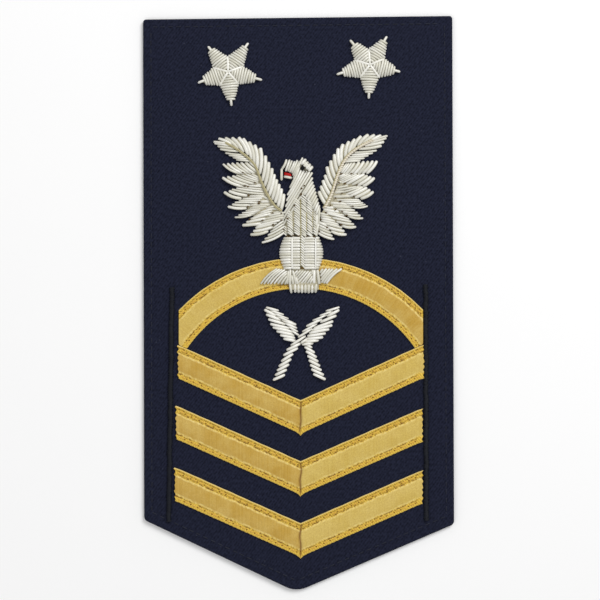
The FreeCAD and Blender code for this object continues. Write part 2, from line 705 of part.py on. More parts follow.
def make_padded_piece(label, strips, neighbours=()):
    shape = fused(strips)
    for neighbour in neighbours:
        shape = shape.cut(neighbour)
    return new_feature(label, shape)


def make_eye():
    eye = document.addObject("Part::Ellipsoid", "eye_knot")
    eye.setExpression("Radius1", "sizes.eye_height")
    eye.setExpression("Radius2", "sizes.eye_radius")
    eye.setExpression("Radius3", "sizes.eye_radius")
    eye.setExpression("Placement.Base.x", "sizes.eye_x")
    eye.setExpression("Placement.Base.y", "sizes.eye_y")
    eye.setExpression("Placement.Base.z", laid_base)
    eye.Angle1 = 0
    eye.Label = "eagle_eye"
    return eye


def make_tongue():
    body = new_body("eagle_tongue")
    outline = new_sketch(body, "tongue_outline", "XY_Plane", laid_base)
    draw_outline(outline, [("%.2f" % x, "%.2f" % y) for x, y in tongue_outline])
    stitches = body.newObject("PartDesign::Pad", "tongue_stitches")
    stitches.Profile = outline
    stitches.setExpression("Length", "sizes.tongue_height")
    document.recompute()
    return body


def eye_socket():
    margin = 2 * size("laid_gap")
    foot = FreeCAD.Vector(size("eye_x"), size("eye_y"), base_z - 1)
    return Part.makeCylinder(size("eye_radius") + margin, 6, foot)


# Crossed quills: a leaf-shaped vane above the crossing and a narrow stem below it

right_quill_rows = strip_rows((
    (-8.6, -25.9, -4.5, -24.2, 1.1),
    (-7.2, -23.0, -3.6, -22.0, 1.2),
    (-5.2, -17.7, -1.9, -16.8, 1.3),
    (-2.7, -13.7, 0.6, -14.6, 1.5),
    (-0.2, -10.7, 4.8, -13.4, 1.7),
    (2.6, -7.5, 9.1, -10.3, 1.6),
    (4.8, -5.6, 11.2, -7.4, 1.5),
    (7.4, -3.8, 12.7, -4.6, 1.3),
    (9.6, -2.2, 13.8, -1.9, 1.0),
))
left_vane_rows = strip_rows((
    (-11.6, -2.8, -10.2, -1.2, 1.0),
    (-10.6, -4.6, -6.4, -2.3, 1.3),
    (-9.2, -7.0, -3.6, -4.4, 1.5),
    (-7.0, -9.6, -1.6, -6.7, 1.6),
    (-4.4, -11.7, 0.2, -8.6, 1.6),
    (-1.4, -12.6, 1.2, -10.2, 1.5),
))
left_stem_rows = strip_rows((
    (1.6, -13.9, 4.4, -14.9, 1.4),
    (2.2, -15.8, 5.7, -16.8, 1.3),
    (3.3, -19.2, 6.5, -20.1, 1.2),
    (4.3, -22.2, 7.7, -23.0, 1.2),
    (5.5, -24.6, 9.1, -25.9, 1.1),
))


# The parts, in the order in which they are laid

gap = size("laid_gap")
tall = 2.0


def clearance_of(rows):
    raised = [row._replace(crown=row.crown + tall) for row in rows]
    return padded_strip(raised, gap, rim=tall)


parts = [make_ground_cloth(), make_rocker()]
parts += [make_chevron(position) for position in ("upper", "middle", "lower")]
parts += [make_side_bar(side) for side in ("left", "right")]
parts += [make_star(side) for side in ("left", "right")]

over_lace = [lace_clearance()]
breast_room = clearance_of(breast_rows)
neck_room = clearance_of(neck_rows)
parts.append(make_padded_piece("eagle_breast", [padded_strip(breast_rows)]))
head_strips = [padded_strip(rows) for rows in (skull_rows, hooked_bill_rows, lower_bill_rows, neck_rows)]
parts.append(make_padded_piece("eagle_head", head_strips, [breast_room, eye_socket()]))
parts.append(make_eye())
parts.append(make_tongue())
for side in ("left", "right"):
    parts.append(make_wing(side, [breast_room, neck_room]))
    parts.append(make_rib(side, [breast_room, neck_room]))
for label, rows in (("eagle_belly", belly_rows), ("eagle_left_talon", left_talon_rows),
                    ("eagle_right_talon", right_talon_rows), ("eagle_perch", perch_rows),
                    ("eagle_tail", tail_rows)):
    parts.append(make_padded_piece(label, [padded_strip(rows)], over_lace))

right_quill_room = [clearance_of(right_quill_rows)]
parts.append(make_padded_piece("right_quill", [padded_strip(right_quill_rows)]))
parts.append(make_padded_piece("left_quill_vane", [padded_strip(left_vane_rows)], right_quill_room))
parts.append(make_padded_piece("left_quill_stem", [padded_strip(left_stem_rows)], right_quill_room))

document.recompute()

faults = [item.Name for item in document.Objects if "Invalid" in item.State or "Error" in item.State]
for part in parts:
    if part.Shape.isNull() or not part.Shape.isValid() or len(part.Shape.Solids) != 1:
        faults.append(part.Label)
if faults:
    raise RuntimeError("not built: " + ", ".join(faults))

os.makedirs("parts", exist_ok=True)
for part in parts:
    part.Shape.exportStep("parts/%s.step" % part.Label)
    print("%-22s %8.1f mm3" % (part.Label, part.Shape.Volume))
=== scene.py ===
# Rank chevron patch, face up: navy serge, gold lace, black satin bars and silver bullion.
# Lengths in the dictionaries are millimetres; X runs right, Y up the patch, Z out of its face.
import math

import bpy
import numpy as np
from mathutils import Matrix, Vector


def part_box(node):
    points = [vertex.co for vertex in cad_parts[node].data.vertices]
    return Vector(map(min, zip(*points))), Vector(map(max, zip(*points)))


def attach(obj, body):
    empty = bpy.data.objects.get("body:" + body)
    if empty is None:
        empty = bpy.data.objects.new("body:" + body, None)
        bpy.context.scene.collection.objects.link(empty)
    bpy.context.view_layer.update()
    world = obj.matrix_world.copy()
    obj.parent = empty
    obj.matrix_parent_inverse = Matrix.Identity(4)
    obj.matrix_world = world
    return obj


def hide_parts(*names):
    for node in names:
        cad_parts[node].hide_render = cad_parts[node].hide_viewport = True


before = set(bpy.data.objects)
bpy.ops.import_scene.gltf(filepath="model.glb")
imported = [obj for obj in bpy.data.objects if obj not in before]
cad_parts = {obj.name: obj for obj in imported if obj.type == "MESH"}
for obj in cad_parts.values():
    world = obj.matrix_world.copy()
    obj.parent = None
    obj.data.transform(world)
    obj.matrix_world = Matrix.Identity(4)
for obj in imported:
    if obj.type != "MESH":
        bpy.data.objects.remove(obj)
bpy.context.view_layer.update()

mm = 0.001
dice = np.random.default_rng(27)


def topOf(node):  # highest point of a solid, in millimetres
    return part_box(node)[1].z / mm


def footOf(node):  # and its lowest point
    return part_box(node)[0].z / mm


clothTop = topOf("ground_cloth")
laidBase = footOf("left_star")  # underside of everything that lies on the cloth


# Meshes from arrays

def between(first, last, t):  # straight from the first to the last as t goes from 0 to 1
    return first * (1 - t) + last * t


def raised(flat, height):  # flat places given one height, or a height each
    return np.concatenate([flat, np.broadcast_to(height, flat.shape[:-1])[..., None]], -1)


def rays(turns):  # steps of length 1 in the given directions
    return np.stack([np.cos(turns), np.sin(turns)], -1)


def facingOut(part):
    # Signed volume: a third of the sum of corner . (edge x edge); a negative one turns every face over
    points = part["points"]
    halves = np.concatenate([part["quads"][:, :3], part["quads"][:, [0, 2, 3]], part["triangles"]])
    a, b, c = (points[halves[:, k]] for k in range(3))
    if np.einsum("ij,ij->i", a, np.cross(b, c)).sum() < 0:
        for key in ("quads", "triangles", "quadUv", "triangleUv"):
            part[key] = part[key][:, ::-1]
    return part


def gridSlab(front, back, uv, marks):
    # Two grids of points, the second one the underside, closed by a wall of one face round the rim
    rows, columns = front.shape[:2]
    index = np.arange(rows * columns).reshape(rows, columns)
    cells = np.stack([index[:-1, :-1], index[1:, :-1], index[1:, 1:], index[:-1, 1:]], -1).reshape(-1, 4)
    rim = np.concatenate([index[0], index[1:, -1], index[-1, -2::-1], index[-2:0:-1, 0]])
    beyond = np.roll(rim, -1)
    under = index.size
    wall = np.stack([rim, beyond, beyond + under, rim + under], -1)
    quads = np.concatenate([cells, cells[:, ::-1] + under, wall])
    uv = np.tile(uv.reshape(-1, 2), (2, 1))
    return facingOut({
        "points": np.concatenate([front.reshape(-1, 3), back.reshape(-1, 3)]),
        "quads": quads,
        "triangles": np.zeros((0, 3), int),
        "quadUv": uv[quads],
        "triangleUv": np.zeros((0, 3, 2)),
        "marks": {key: np.tile(value.ravel(), 2) for key, value in marks.items()},
    })


def softSlab(flat, top, base):  # a slab of one tone over a grid of flat places
    return gridSlab(raised(flat, top), raised(flat, base), flat, {"tone": np.full(flat.shape[:-1], 0.5)})


def ringStack(rings, firstPoles, lastPoles, along, tone):
    # Closed bodies, each a stack of rings between two poles: rings[body, ring, side], along[body, ring]
    bodies, levels, sides = rings.shape[:3]
    each = levels * sides + 2
    index = np.arange(levels * sides).reshape(levels, sides)
    turned = np.roll(index, -1, 1)
    quads = np.stack([index[:-1], turned[:-1], turned[1:], index[1:]], -1).reshape(-1, 4)
    first = np.stack([np.full(sides, each - 2), turned[0], index[0]], -1)
    last = np.stack([np.full(sides, each - 1), index[-1], turned[-1]], -1)
    triangles = np.concatenate([first, last])
    start = (np.arange(bodies) * each)[:, None, None]
    round0 = np.arange(sides) / sides
    round1 = round0 + 1 / sides
    quadRound = np.tile(np.stack([round0, round1, round1, round0], -1), (levels - 1, 1))
    quadAlong = along[:, quads // sides]
    triangleRound = np.stack([[round0, round0], [round1, round0], [round0, round1]], -1).reshape(-1, 3)
    triangleAlong = along[:, np.repeat([0, levels - 1], sides)][:, :, None] + np.zeros(3)
    points = np.concatenate([rings.reshape(bodies, -1, 3), firstPoles[:, None], lastPoles[:, None]], 1)
    tone = np.broadcast_to(np.reshape(tone, (bodies, -1)), (bodies, levels))
    return facingOut({
        "points": points.reshape(-1, 3),
        "quads": (quads + start).reshape(-1, 4),
        "triangles": (triangles + start).reshape(-1, 3),
        "quadUv": np.stack([quadAlong, quadRound + 0 * quadAlong], -1).reshape(-1, 4, 2),
        "triangleUv": np.stack([triangleAlong, triangleRound + 0 * triangleAlong], -1).reshape(-1, 3, 2),
        "marks": {"tone": np.concatenate([np.repeat(tone, sides, 1), tone[:, [0, -1]]], 1).ravel()},
    })


def addPiece(name, parts, material, nodes=()):
    # Joins the parts end to end in the arrays, and hands them to one mesh in metres
    starts = np.cumsum([0] + [len(part["points"]) for part in parts[:-1]])
    quads = np.concatenate([part["quads"] + start for part, start in zip(parts, starts)])
    triangles = np.concatenate([part["triangles"] + start for part, start in zip(parts, starts)])
    corners = np.concatenate([quads.ravel(), triangles.ravel()])
    sizes = np.repeat([4, 3], [len(quads), len(triangles)])
    points = np.concatenate([part["points"] for part in parts]) * mm
    uv = np.concatenate([part["quadUv"].reshape(-1, 2) for part in parts]
                        + [part["triangleUv"].reshape(-1, 2) for part in parts])
    mesh = bpy.data.meshes.new(name)
    mesh.vertices.add(len(points))
    mesh.vertices.foreach_set("co", points.astype(np.float32).ravel())
    mesh.loops.add(len(corners))
    mesh.loops.foreach_set("vertex_index", corners.astype(np.int32))
    mesh.polygons.add(len(sizes))
    mesh.polygons.foreach_set("loop_start", (np.cumsum(sizes) - sizes).astype(np.int32))
    mesh.update(calc_edges=True)
    mesh.uv_layers.new(name="threadMap").uv.foreach_set("vector", uv.astype(np.float32).ravel())
    for key in parts[0]["marks"]:
        values = np.concatenate([part["marks"][key] for part in parts])
        mesh.attributes.new(key, "FLOAT", "POINT").data.foreach_set("value", values.astype(np.float32))
    mesh.shade_smooth()
    mesh.set_sharp_from_angle(angle=math.radians(55))
    mesh.materials.append(material)
    piece = bpy.data.objects.new(name, mesh)
    bpy.context.scene.collection.objects.link(piece)
    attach(piece, "root")
    if nodes:
        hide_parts(*nodes)
    return piece


def ripple(place, lengths, seed):
    # Smooth unevenness from -1 to 1: the mean of sines of the given wave lengths, each with its own phase
    phases = np.random.default_rng(seed).uniform(0, 2 * np.pi, len(lengths))
    waves = [np.sin(2 * np.pi * place / length + phase) for length, phase in zip(lengths, phases)]
    return sum(waves) / len(lengths)


def smoothStep(value, low, high):
    t = np.clip((value - low) / (high - low), 0, 1)
    return t * t * (3 - 2 * t)


# Materials

def addNode(tree, kind, inputs={}, **settings):
    # A socket among the inputs is linked, anything else is the input's own value
    node = tree.nodes.new(kind)
    for key, value in settings.items():
        setattr(node, key, value)
    for key, value in inputs.items():
        if isinstance(value, bpy.types.NodeSocket):
            tree.links.new(value, node.inputs[key])
        else:
            node.inputs[key].default_value = value
    return node


def maths(tree, operation, *values):
    return addNode(tree, "ShaderNodeMath", dict(enumerate(values)), operation=operation).outputs[0]


def blendColour(tree, amount, first, second, way="MIX"):
    inputs = {0: amount, 6: first, 7: second}
    return addNode(tree, "ShaderNodeMix", inputs, data_type="RGBA", blend_type=way).outputs[2]


def spread(tree, value, low, high, toLow=0.0, toHigh=1.0):
    inputs = {0: value, 1: low, 2: high, 3: toLow, 4: toHigh}
    return addNode(tree, "ShaderNodeMapRange", inputs, interpolation_type="SMOOTHSTEP").outputs[0]


def paint(red, green, blue):  # a colour as it shows on screen, 0 to 255, made linear
    linear = [((c / 255 + 0.055) / 1.055) ** 2.4 if c > 10 else c / 255 / 12.92 for c in (red, green, blue)]
    return (*linear, 1.0)


def newGroup(name, inputs, outputs):
    tree = bpy.data.node_groups.new(name, "ShaderNodeTree")
    for title, kind in inputs:
        tree.interface.new_socket(name=title, in_out="INPUT", socket_type="NodeSocket" + kind)
    for title, kind in outputs:
        tree.interface.new_socket(name=title, in_out="OUTPUT", socket_type="NodeSocket" + kind)
    return tree, tree.nodes.new("NodeGroupInput").outputs, tree.nodes.new("NodeGroupOutput").inputs


def makeThreadRows():
    # Threads side by side: height = |sin(pi x / pitch)| to the power 0.6, with x pushed about by noise
    # along the thread; tint is one random number for each thread
    tree, given, made = newGroup(
        "threadRows",
        [("Place", "Vector"), ("Pitch", "Float"), ("Wander", "Float")],
        [("Height", "Float"), ("Tint", "Float")])
    noise = addNode(tree, "ShaderNodeTexNoise", {"Vector": given["Place"], "Scale": 0.7, "Detail": 2.0})
    push = maths(tree, "MULTIPLY", maths(tree, "SUBTRACT", noise.outputs[0], 0.5), given["Wander"])
    across = addNode(tree, "ShaderNodeSeparateXYZ", {0: given["Place"]}).outputs[0]
    count = maths(tree, "DIVIDE", maths(tree, "ADD", across, push), given["Pitch"])
    wave = maths(tree, "ABSOLUTE", maths(tree, "SINE", maths(tree, "MULTIPLY", count, math.pi)))
    tree.links.new(maths(tree, "POWER", wave, 0.6), made["Height"])
    tint = addNode(tree, "ShaderNodeTexWhiteNoise", {"W": maths(tree, "FLOOR", count)}, noise_dimensions="1D")
    tree.links.new(tint.outputs["Value"], made["Tint"])
    return tree


def makeSoftPatches():
    # Blotches: fractal noise of the given size, its contrast raised about the middle
    tree, given, made = newGroup(
        "softPatches",
        [("Place", "Vector"), ("Size", "Float"), ("Contrast", "Float")],
        [("Mask", "Float")])
    place = addNode(tree, "ShaderNodeVectorMath", {0: given["Place"], 1: given["Size"]}, operation="DIVIDE")
    noise = addNode(tree, "ShaderNodeTexNoise", {"Vector": place.outputs[0], "Scale": 1.0, "Detail": 4.0})
    half = maths(tree, "DIVIDE", 0.5, given["Contrast"])
    low = maths(tree, "SUBTRACT", 0.5, half)
    high = maths(tree, "ADD", 0.5, half)
    tree.links.new(spread(tree, noise.outputs[0], low, high), made["Mask"])
    return tree


def makeLint():
    # Stray fluff: sparse small cells of a Voronoi pattern, only the nearest part of each
    tree, given, made = newGroup(
        "lint", [("Place", "Vector"), ("Size", "Float"), ("Share", "Float")], [("Mask", "Float")])
    place = addNode(tree, "ShaderNodeVectorMath", {0: given["Place"], 1: given["Size"]}, operation="DIVIDE")
    cells = addNode(tree, "ShaderNodeTexVoronoi", {"Vector": place.outputs[0], "Scale": 1.0})
    near = spread(tree, cells.outputs["Distance"], 0.05, 0.3, 1.0, 0.0)
    pick = addNode(tree, "ShaderNodeSeparateXYZ", {0: cells.outputs["Color"]}).outputs[0]
    chosen = maths(tree, "LESS_THAN", pick, given["Share"])
    tree.links.new(maths(tree, "MULTIPLY", near, chosen), made["Mask"])
    return tree


threadRows = makeThreadRows()
softPatches = makeSoftPatches()
lint = makeLint()


def useGroup(tree, group, **inputs):
    return addNode(tree, "ShaderNodeGroup", inputs, node_tree=group).outputs


def useRows(tree, place, pitch, wander):  # the height and tint of thread rows
    return useGroup(tree, threadRows, Place=place, Pitch=pitch, Wander=wander)


def patches(tree, place, size, contrast):  # the mask of soft patches
    return useGroup(tree, softPatches, Place=place, Size=size, Contrast=contrast)["Mask"]


def layOver(tree, under, colour, mask, dense=1.0):  # a colour over another one, where the mask says
    amount = maths(tree, "MULTIPLY", mask, dense) if dense < 1 else mask
    return blendColour(tree, amount, under, paint(*colour))


def newMaterial(name, roughness, **plain):
    material = bpy.data.materials.new(name)
    material.use_nodes = True
    shader = material.node_tree.nodes["Principled BSDF"]
    shader.inputs["Roughness"].default_value = roughness
    for key, value in plain.items():
        shader.inputs[key.replace("_", " ")].default_value = value
    return material, material.node_tree, shader.inputs


def placeInMm(tree, turn=0.0):  # object coordinates in millimetres, turned about Z by so many degrees
    source = addNode(tree, "ShaderNodeTexCoord").outputs["Object"]
    inputs = {"Vector": source, "Rotation": (0, 0, math.radians(turn)), "Scale": (mm, mm, mm)}
    return addNode(tree, "ShaderNodeMapping", inputs, vector_type="TEXTURE").outputs[0]


def threadMap(tree, turn=0.0, stretch=(1, 1, 1)):  # the piece's own map, with millimetres along the thread
    source = addNode(tree, "ShaderNodeUVMap", uv_map="threadMap").outputs[0]
    inputs = {"Vector": source, "Rotation": (0, 0, math.radians(turn)), "Scale": stretch}
    return addNode(tree, "ShaderNodeMapping", inputs).outputs[0]


def mark(tree, name):
    return addNode(tree, "ShaderNodeAttribute", attribute_name=name).outputs["Fac"]


def addBump(tree, shader, height, strength, depth):
    bump = addNode(tree, "ShaderNodeBump", {"Strength": strength, "Distance": depth * mm, "Height": height})
    tree.links.new(bump.outputs[0], shader["Normal"])


sergeLook = {
    # painted shade: the twill's grooves are coloured far darker than its ribs
    "groove": (4, 6, 16),
    "rib": (27, 30, 48),
    # each row: angle, pitch, wander
    "ribs": (143.0, 0.86, 0.35),
    "yarns": (8.0, 0.55, 0.15),
    "ribDepth": 0.07,
    # blotches: colour, size, contrast, how dense
    "blotches": (((21, 24, 39), 9.0, 2.2, 0.35), ((43, 47, 68), 0.9, 3.0, 0.4)),
    "lint": (66, 68, 82),
    "lintSize": 1.3,
    "lintShare": 0.012,
}


def makeSerge():
    look = sergeLook
    material, tree, shader = newMaterial("navySerge", 0.9, Specular_IOR_Level=0.12)
    ribs, yarns = (useRows(tree, placeInMm(tree, turn), pitch, wander)["Height"]
                   for turn, pitch, wander in (look["ribs"], look["yarns"]))
    height = maths(tree, "MULTIPLY", ribs, spread(tree, yarns, 0.0, 1.0, 0.55, 1.0))
    # colour runs from the painted shade of the grooves to the rib colour, by the twill's height
    cloth = blendColour(tree, height, paint(*look["groove"]), paint(*look["rib"]))
    for colour, size, contrast, dense in look["blotches"]:
        cloth = layOver(tree, cloth, colour, patches(tree, placeInMm(tree), size, contrast), dense)
    fluff = useGroup(tree, lint, Place=placeInMm(tree, 30.0), Size=look["lintSize"], Share=look["lintShare"])
    cloth = layOver(tree, cloth, look["lint"], fluff["Mask"], 0.5)
    tree.links.new(cloth, shader["Base Color"])
    addBump(tree, shader, height, 0.6, look["ribDepth"])
    return material


bullionLook = {
    "bright": (250, 249, 243),
    "dull": (214, 212, 198),
    "tarnish": (196, 190, 164),
    # painted shade laid on each strand's sides, away from its crest
    "flank": (166, 160, 132),
    "coilPitch": 0.34,
    "coilDepth": 0.05,
    "wearSize": 3.5,
}


def makeBullion():
    look = bullionLook
    material, tree, shader = newMaterial("silverBullion", 0.36, Metallic=0.1)
    coils = useRows(tree, threadMap(tree), look["coilPitch"], 0.12)["Height"]
    wearAndHighlightBreaks = patches(tree, placeInMm(tree), look["wearSize"], 2.5)
    # dull to bright by the tone mark, which also carries the painted highlight at the strands' ends
    wire = blendColour(tree, mark(tree, "tone"), paint(*look["dull"]), paint(*look["bright"]))
    wire = layOver(tree, wire, look["tarnish"], wearAndHighlightBreaks, 0.22)
    wire = layOver(tree, wire, look["tarnish"], spread(tree, coils, 0.0, 0.8, 0.3, 0.0))
    roundIt = addNode(tree, "ShaderNodeSeparateXYZ", {0: threadMap(tree)}).outputs[1]  # 0.5 along the crest
    # painted shade: the strand's sides are darkened towards the flank colour and its crest is left bright
    flank = maths(tree, "ABSOLUTE", maths(tree, "SUBTRACT", roundIt, 0.5))
    wire = layOver(tree, wire, look["flank"], spread(tree, flank, 0.11, 0.26, 0.0, 0.75))
    tree.links.new(wire, shader["Base Color"])
    tree.links.new(spread(tree, wearAndHighlightBreaks, 0.0, 1.0, 0.32, 0.5), shader["Roughness"])
    addBump(tree, shader, coils, 0.5, look["coilDepth"])
    return material


feltLook = {"pale": (198, 192, 168), "dark": (154, 147, 120), "fibreSize": 0.5}


def makeFelt():
    # The padding that shows dark between the strands
    material, tree, shader = newMaterial("paddingFelt", 0.95)
    fibres = patches(tree, placeInMm(tree), feltLook["fibreSize"], 1.6)
    colour = layOver(tree, paint(*feltLook["dark"]), feltLook["pale"], fibres)
    tree.links.new(colour, shader["Base Color"])
    addBump(tree, shader, fibres, 0.4, 0.1)
    return material


def makeThread(name, dark, light, pitch, roughness, turn=20.0):
    # Twisted sewing thread: plies are thread rows on a slightly turned thread map, the grooves between them
    # in painted shade
    material, tree, shader = newMaterial(name, roughness, Specular_IOR_Level=0.2)
    plies = useRows(tree, threadMap(tree, turn), pitch, 0.1)["Height"]
    shade = maths(tree, "MULTIPLY", plies, spread(tree, mark(tree, "tone"), 0.0, 1.0, 0.6, 1.0))
    # colour runs from the painted shade in the grooves to the ply colour, and is dimmed further where the
    # tone is low
    colour = layOver(tree, paint(*dark), light, shade)
    colour = layOver(tree, colour, light, patches(tree, placeInMm(tree), 2.0, 2.0), 0.25)
    tree.links.new(colour, shader["Base Color"])
    addBump(tree, shader, plies, 0.5, 0.06)
    return material


laceLook = {
    # pale lip along the top edge: partly a pale edge, partly a painted highlight
    "lip": (233, 210, 142),
    "strip": (240, 206, 80),
    # painted shade in the strip's weave, also laid as a random darker grain
    "stripGrooveShadeAndMottle": (180, 136, 40),
    "stitchGrooveShadow": (116, 76, 20),
    # painted highlight along the satin's raised edges
    "ridge": (238, 216, 138),
    # painted sheen: one satin, drawn deep on one run of the band and pale on the other
    "satinPaintedShade": (196, 156, 58),
    "satinPaintedSheen": (216, 188, 94),
    "satinStreak": (162, 122, 42),
    # painted shade in the mitre's fold
    "crease": (112, 66, 16),
    "lipEdge": 0.26,
    "upperRidge": 2.72,
    "lowerRidge": 8.85,
    "width": 11.2,
    # painted shadow lines in the grooves beside the stitches: distance across the band, half width, how dense
    "stitchGrooveShadowLines": ((0.85, 0.34, 0.9), (2.15, 0.4, 0.95), (9.4, 0.4, 0.95)),
}


def makeLace():
    # Colour by the distance across the band: pale lip that is partly a painted highlight, woven strip with
    # painted shade in its weave, painted shadow lines in the grooves, painted highlight along the ridges,
    # satin middle with painted sheen
    look = laceLook
    material, tree, shader = newMaterial("goldLace", 0.42, Specular_IOR_Level=0.3)
    threads = threadMap(tree)
    across = addNode(tree, "ShaderNodeSeparateXYZ", {0: threads}).outputs[1]
    drift = patches(tree, threadMap(tree, 0.0, (1, 0.02, 1)), 5.0, 1.0)
    wavy = maths(tree, "ADD", across, maths(tree, "MULTIPLY", maths(tree, "SUBTRACT", drift, 0.5), 0.9))
    broken = patches(tree, threads, 0.9, 4.0)
    weave = useRows(tree, threadMap(tree, 35.0), 0.62, 0.2)
    fine = useRows(tree, threads, 0.42, 0.25)
    streaks = patches(tree, threadMap(tree, 0.0, (1, 0.22, 1)), 0.7, 2.2)
    blotch = patches(tree, placeInMm(tree), 5.0, 2.4)
    grain = patches(tree, threads, 0.5, 2.2)

    def line(value, centre, half):  # a soft line across the band: 1 at its centre, 0 at half its width
        away = maths(tree, "ABSOLUTE", maths(tree, "SUBTRACT", value, centre))
        return spread(tree, away, half * 0.3, half, 1.0, 0.0)

    # the woven strip: painted shade between the weave's threads, then darker grain
    strip = blendColour(tree, weave["Height"], paint(*look["stripGrooveShadeAndMottle"]), paint(*look["strip"]))
    strip = layOver(tree, strip, look["stripGrooveShadeAndMottle"], grain, 0.45)
    # painted sheen by the band's direction: deep to pale by the tone mark
    satin = blendColour(tree, mark(tree, "tone"), paint(*look["satinPaintedShade"]), paint(*look["satinPaintedSheen"]))
    # darker streaks and grain, then pale blotches and thread tints in the ridge highlight colour
    for key, mask, dense in (("satinStreak", streaks, 0.16), ("ridge", blotch, 0.3),
                             ("satinStreak", grain, 0.38), ("ridge", fine["Tint"], 0.12)):
        satin = layOver(tree, satin, look[key], mask, dense)
    inside = maths(tree, "MULTIPLY",
                   spread(tree, wavy, look["upperRidge"] - 0.25, look["upperRidge"] + 0.2),
                   spread(tree, wavy, look["lowerRidge"] - 0.2, look["lowerRidge"] + 0.25, 1.0, 0.0))
    colour = blendColour(tree, inside, strip, satin)
    # painted shadow lines, broken up, in the grooves beside the stitch rows
    for centre, half, dense in look["stitchGrooveShadowLines"]:
        stitchGrooveShadow = maths(tree, "MULTIPLY", line(across, centre, half), maths(tree, "MULTIPLY", broken, dense))
        colour = layOver(tree, colour, look["stitchGrooveShadow"], stitchGrooveShadow)
    # painted highlight along both ridges, broken in patches
    for centre in (look["upperRidge"], look["lowerRidge"]):
        wearAndHighlightBreaks = spread(tree, broken, 0.0, 1.0, 0.65, 0.15)
        bright = maths(tree, "MULTIPLY", line(wavy, centre, 0.55), wearAndHighlightBreaks)
        colour = layOver(tree, colour, look["ridge"], bright)
    # the pale lip, partly a painted highlight, and a paler foot along the cut edge
    lip = spread(tree, across, look["lipEdge"] * 0.7, look["lipEdge"] * 1.3, 0.8, 0.0)
    foot = spread(tree, across, look["width"] - 0.25, look["width"] - 0.05, 0.0, 0.4)
    colour = layOver(tree, colour, look["lip"], maths(tree, "MAXIMUM", lip, foot))
    # painted shade along the fold, where the band is also pressed down
    colour = layOver(tree, colour, look["crease"], mark(tree, "crease"))
    tree.links.new(colour, shader["Base Color"])
    tree.links.new(spread(tree, inside, 0.0, 1.0, 0.55, 0.36), shader["Roughness"])
    relief = blendMaths(tree, inside, weave["Height"], maths(tree, "MULTIPLY", fine["Height"], 0.5))
    addBump(tree, shader, relief, 0.5, 0.09)
    return material


def blendMaths(tree, amount, first, second):
    return addNode(tree, "ShaderNodeMix", {0: amount, 2: first, 3: second}, data_type="FLOAT").outputs[0]


serge = makeSerge()
bullion = makeBullion()
felt = makeFelt()
goldLace = makeLace()
# name, painted shade in the grooves, colour of the plies, ply pitch, roughness
blackThread = makeThread("blackSatin", (3, 4, 8), (30, 33, 42), 0.3, 0.55)
khakiCord = makeThread("khakiCord", (150, 138, 92), (206, 198, 158), 0.35, 0.5)
khakiThread = makeThread("khakiThread", (138, 126, 78), (192, 182, 128), 0.3, 0.6)
ivoryCord = makeThread("ivoryCord", (158, 138, 108), (246, 240, 222), 0.45, 0.5, 60.0)
# the needle holes: dark stitches that stand in for their shade, painted shade
holeShadeThread = makeThread("needleHoleShade", (52, 36, 14), (112, 86, 44), 0.3, 0.8)
laceHoleShadeThread = makeThread("laceNeedleHoles", (112, 74, 20), (172, 124, 48), 0.3, 0.7)
eyeThread = makeThread("blackStitches", (2, 2, 3), (16, 14, 15), 0.3, 0.7)
redThread = makeThread("redThread", (140, 12, 14), (214, 36, 34), 0.28, 0.45)
goldThread = makeThread("goldStitches", (190, 134, 40), (236, 196, 92), 0.3, 0.42)
navyThread = makeThread("navyStitches", (16, 18, 30), (46, 49, 62), 0.3, 0.7)
print("materials made")


# Serge panel

panelShape = {
    "corners": ((-52.5, 95.8), (51.9, 97.0), (52.5, -74.5), (-0.8, -97.4), (-52.1, -73.1)),
    "rounding": (1.2, 1.2, 1.2, 4.0, 1.2),
    "perSide": 84,
    "perCorner": 7,
    "foldReach": 0.75,
    "rimWidth": 7.4,
    "hemWidth": 7.0,
    "hemThickness": 0.7,
    "seamInset": (2.7, 2.7, 3.6, 3.6, 2.7),
    "stitchLength": 1.9,
    "stitchPitch": 2.7,
}


def panelCorners(insets):
    # Where the straight edges meet after each has moved inwards by its own inset
    corner = np.array(panelShape["corners"])
    after = np.roll(corner, -1, 0)
    run = (after - corner) / np.linalg.norm(after - corner, axis=1)[:, None]
    inward = np.stack([run[:, 1], -run[:, 0]], 1)
    level = np.einsum("ij,ij->i", corner, inward) + insets
    before = np.roll(inward, 1, 0), np.roll(level, 1)
    cross = before[0][:, 0] * inward[:, 1] - before[0][:, 1] * inward[:, 0]
    x = (before[1] * inward[:, 1] - level * before[0][:, 1]) / cross
    y = (level * before[0][:, 0] - before[1] * inward[:, 0]) / cross
    return np.stack([x, y], 1), run


def panelRing(inset):
    # One ring of the panel: straight sides, and at each corner a quarter-turn curve
    # P = (1-t)^2 A + 2 t (1-t) C + t^2 B between the points where the curve leaves the sides
    corner, run = panelCorners(np.full(5, float(inset)))
    reach = np.maximum(np.array(panelShape["rounding"]) - 0.6 * inset, 0.15)[:, None]
    enter = corner - np.roll(run, 1, 0) * reach
    leave = corner + run * reach
    t = np.linspace(0, 1, panelShape["perCorner"])[None, :, None]
    bend = (1 - t) ** 2 * enter[:, None] + 2 * t * (1 - t) * corner[:, None] + t ** 2 * leave[:, None]
    s = (np.arange(panelShape["perSide"]) + 1)[None, :, None] / (panelShape["perSide"] + 1)
    side = between(leave[:, None], np.roll(enter, -1, 0)[:, None], s)
    return np.concatenate([bend, side], 1).reshape(-1, 2)


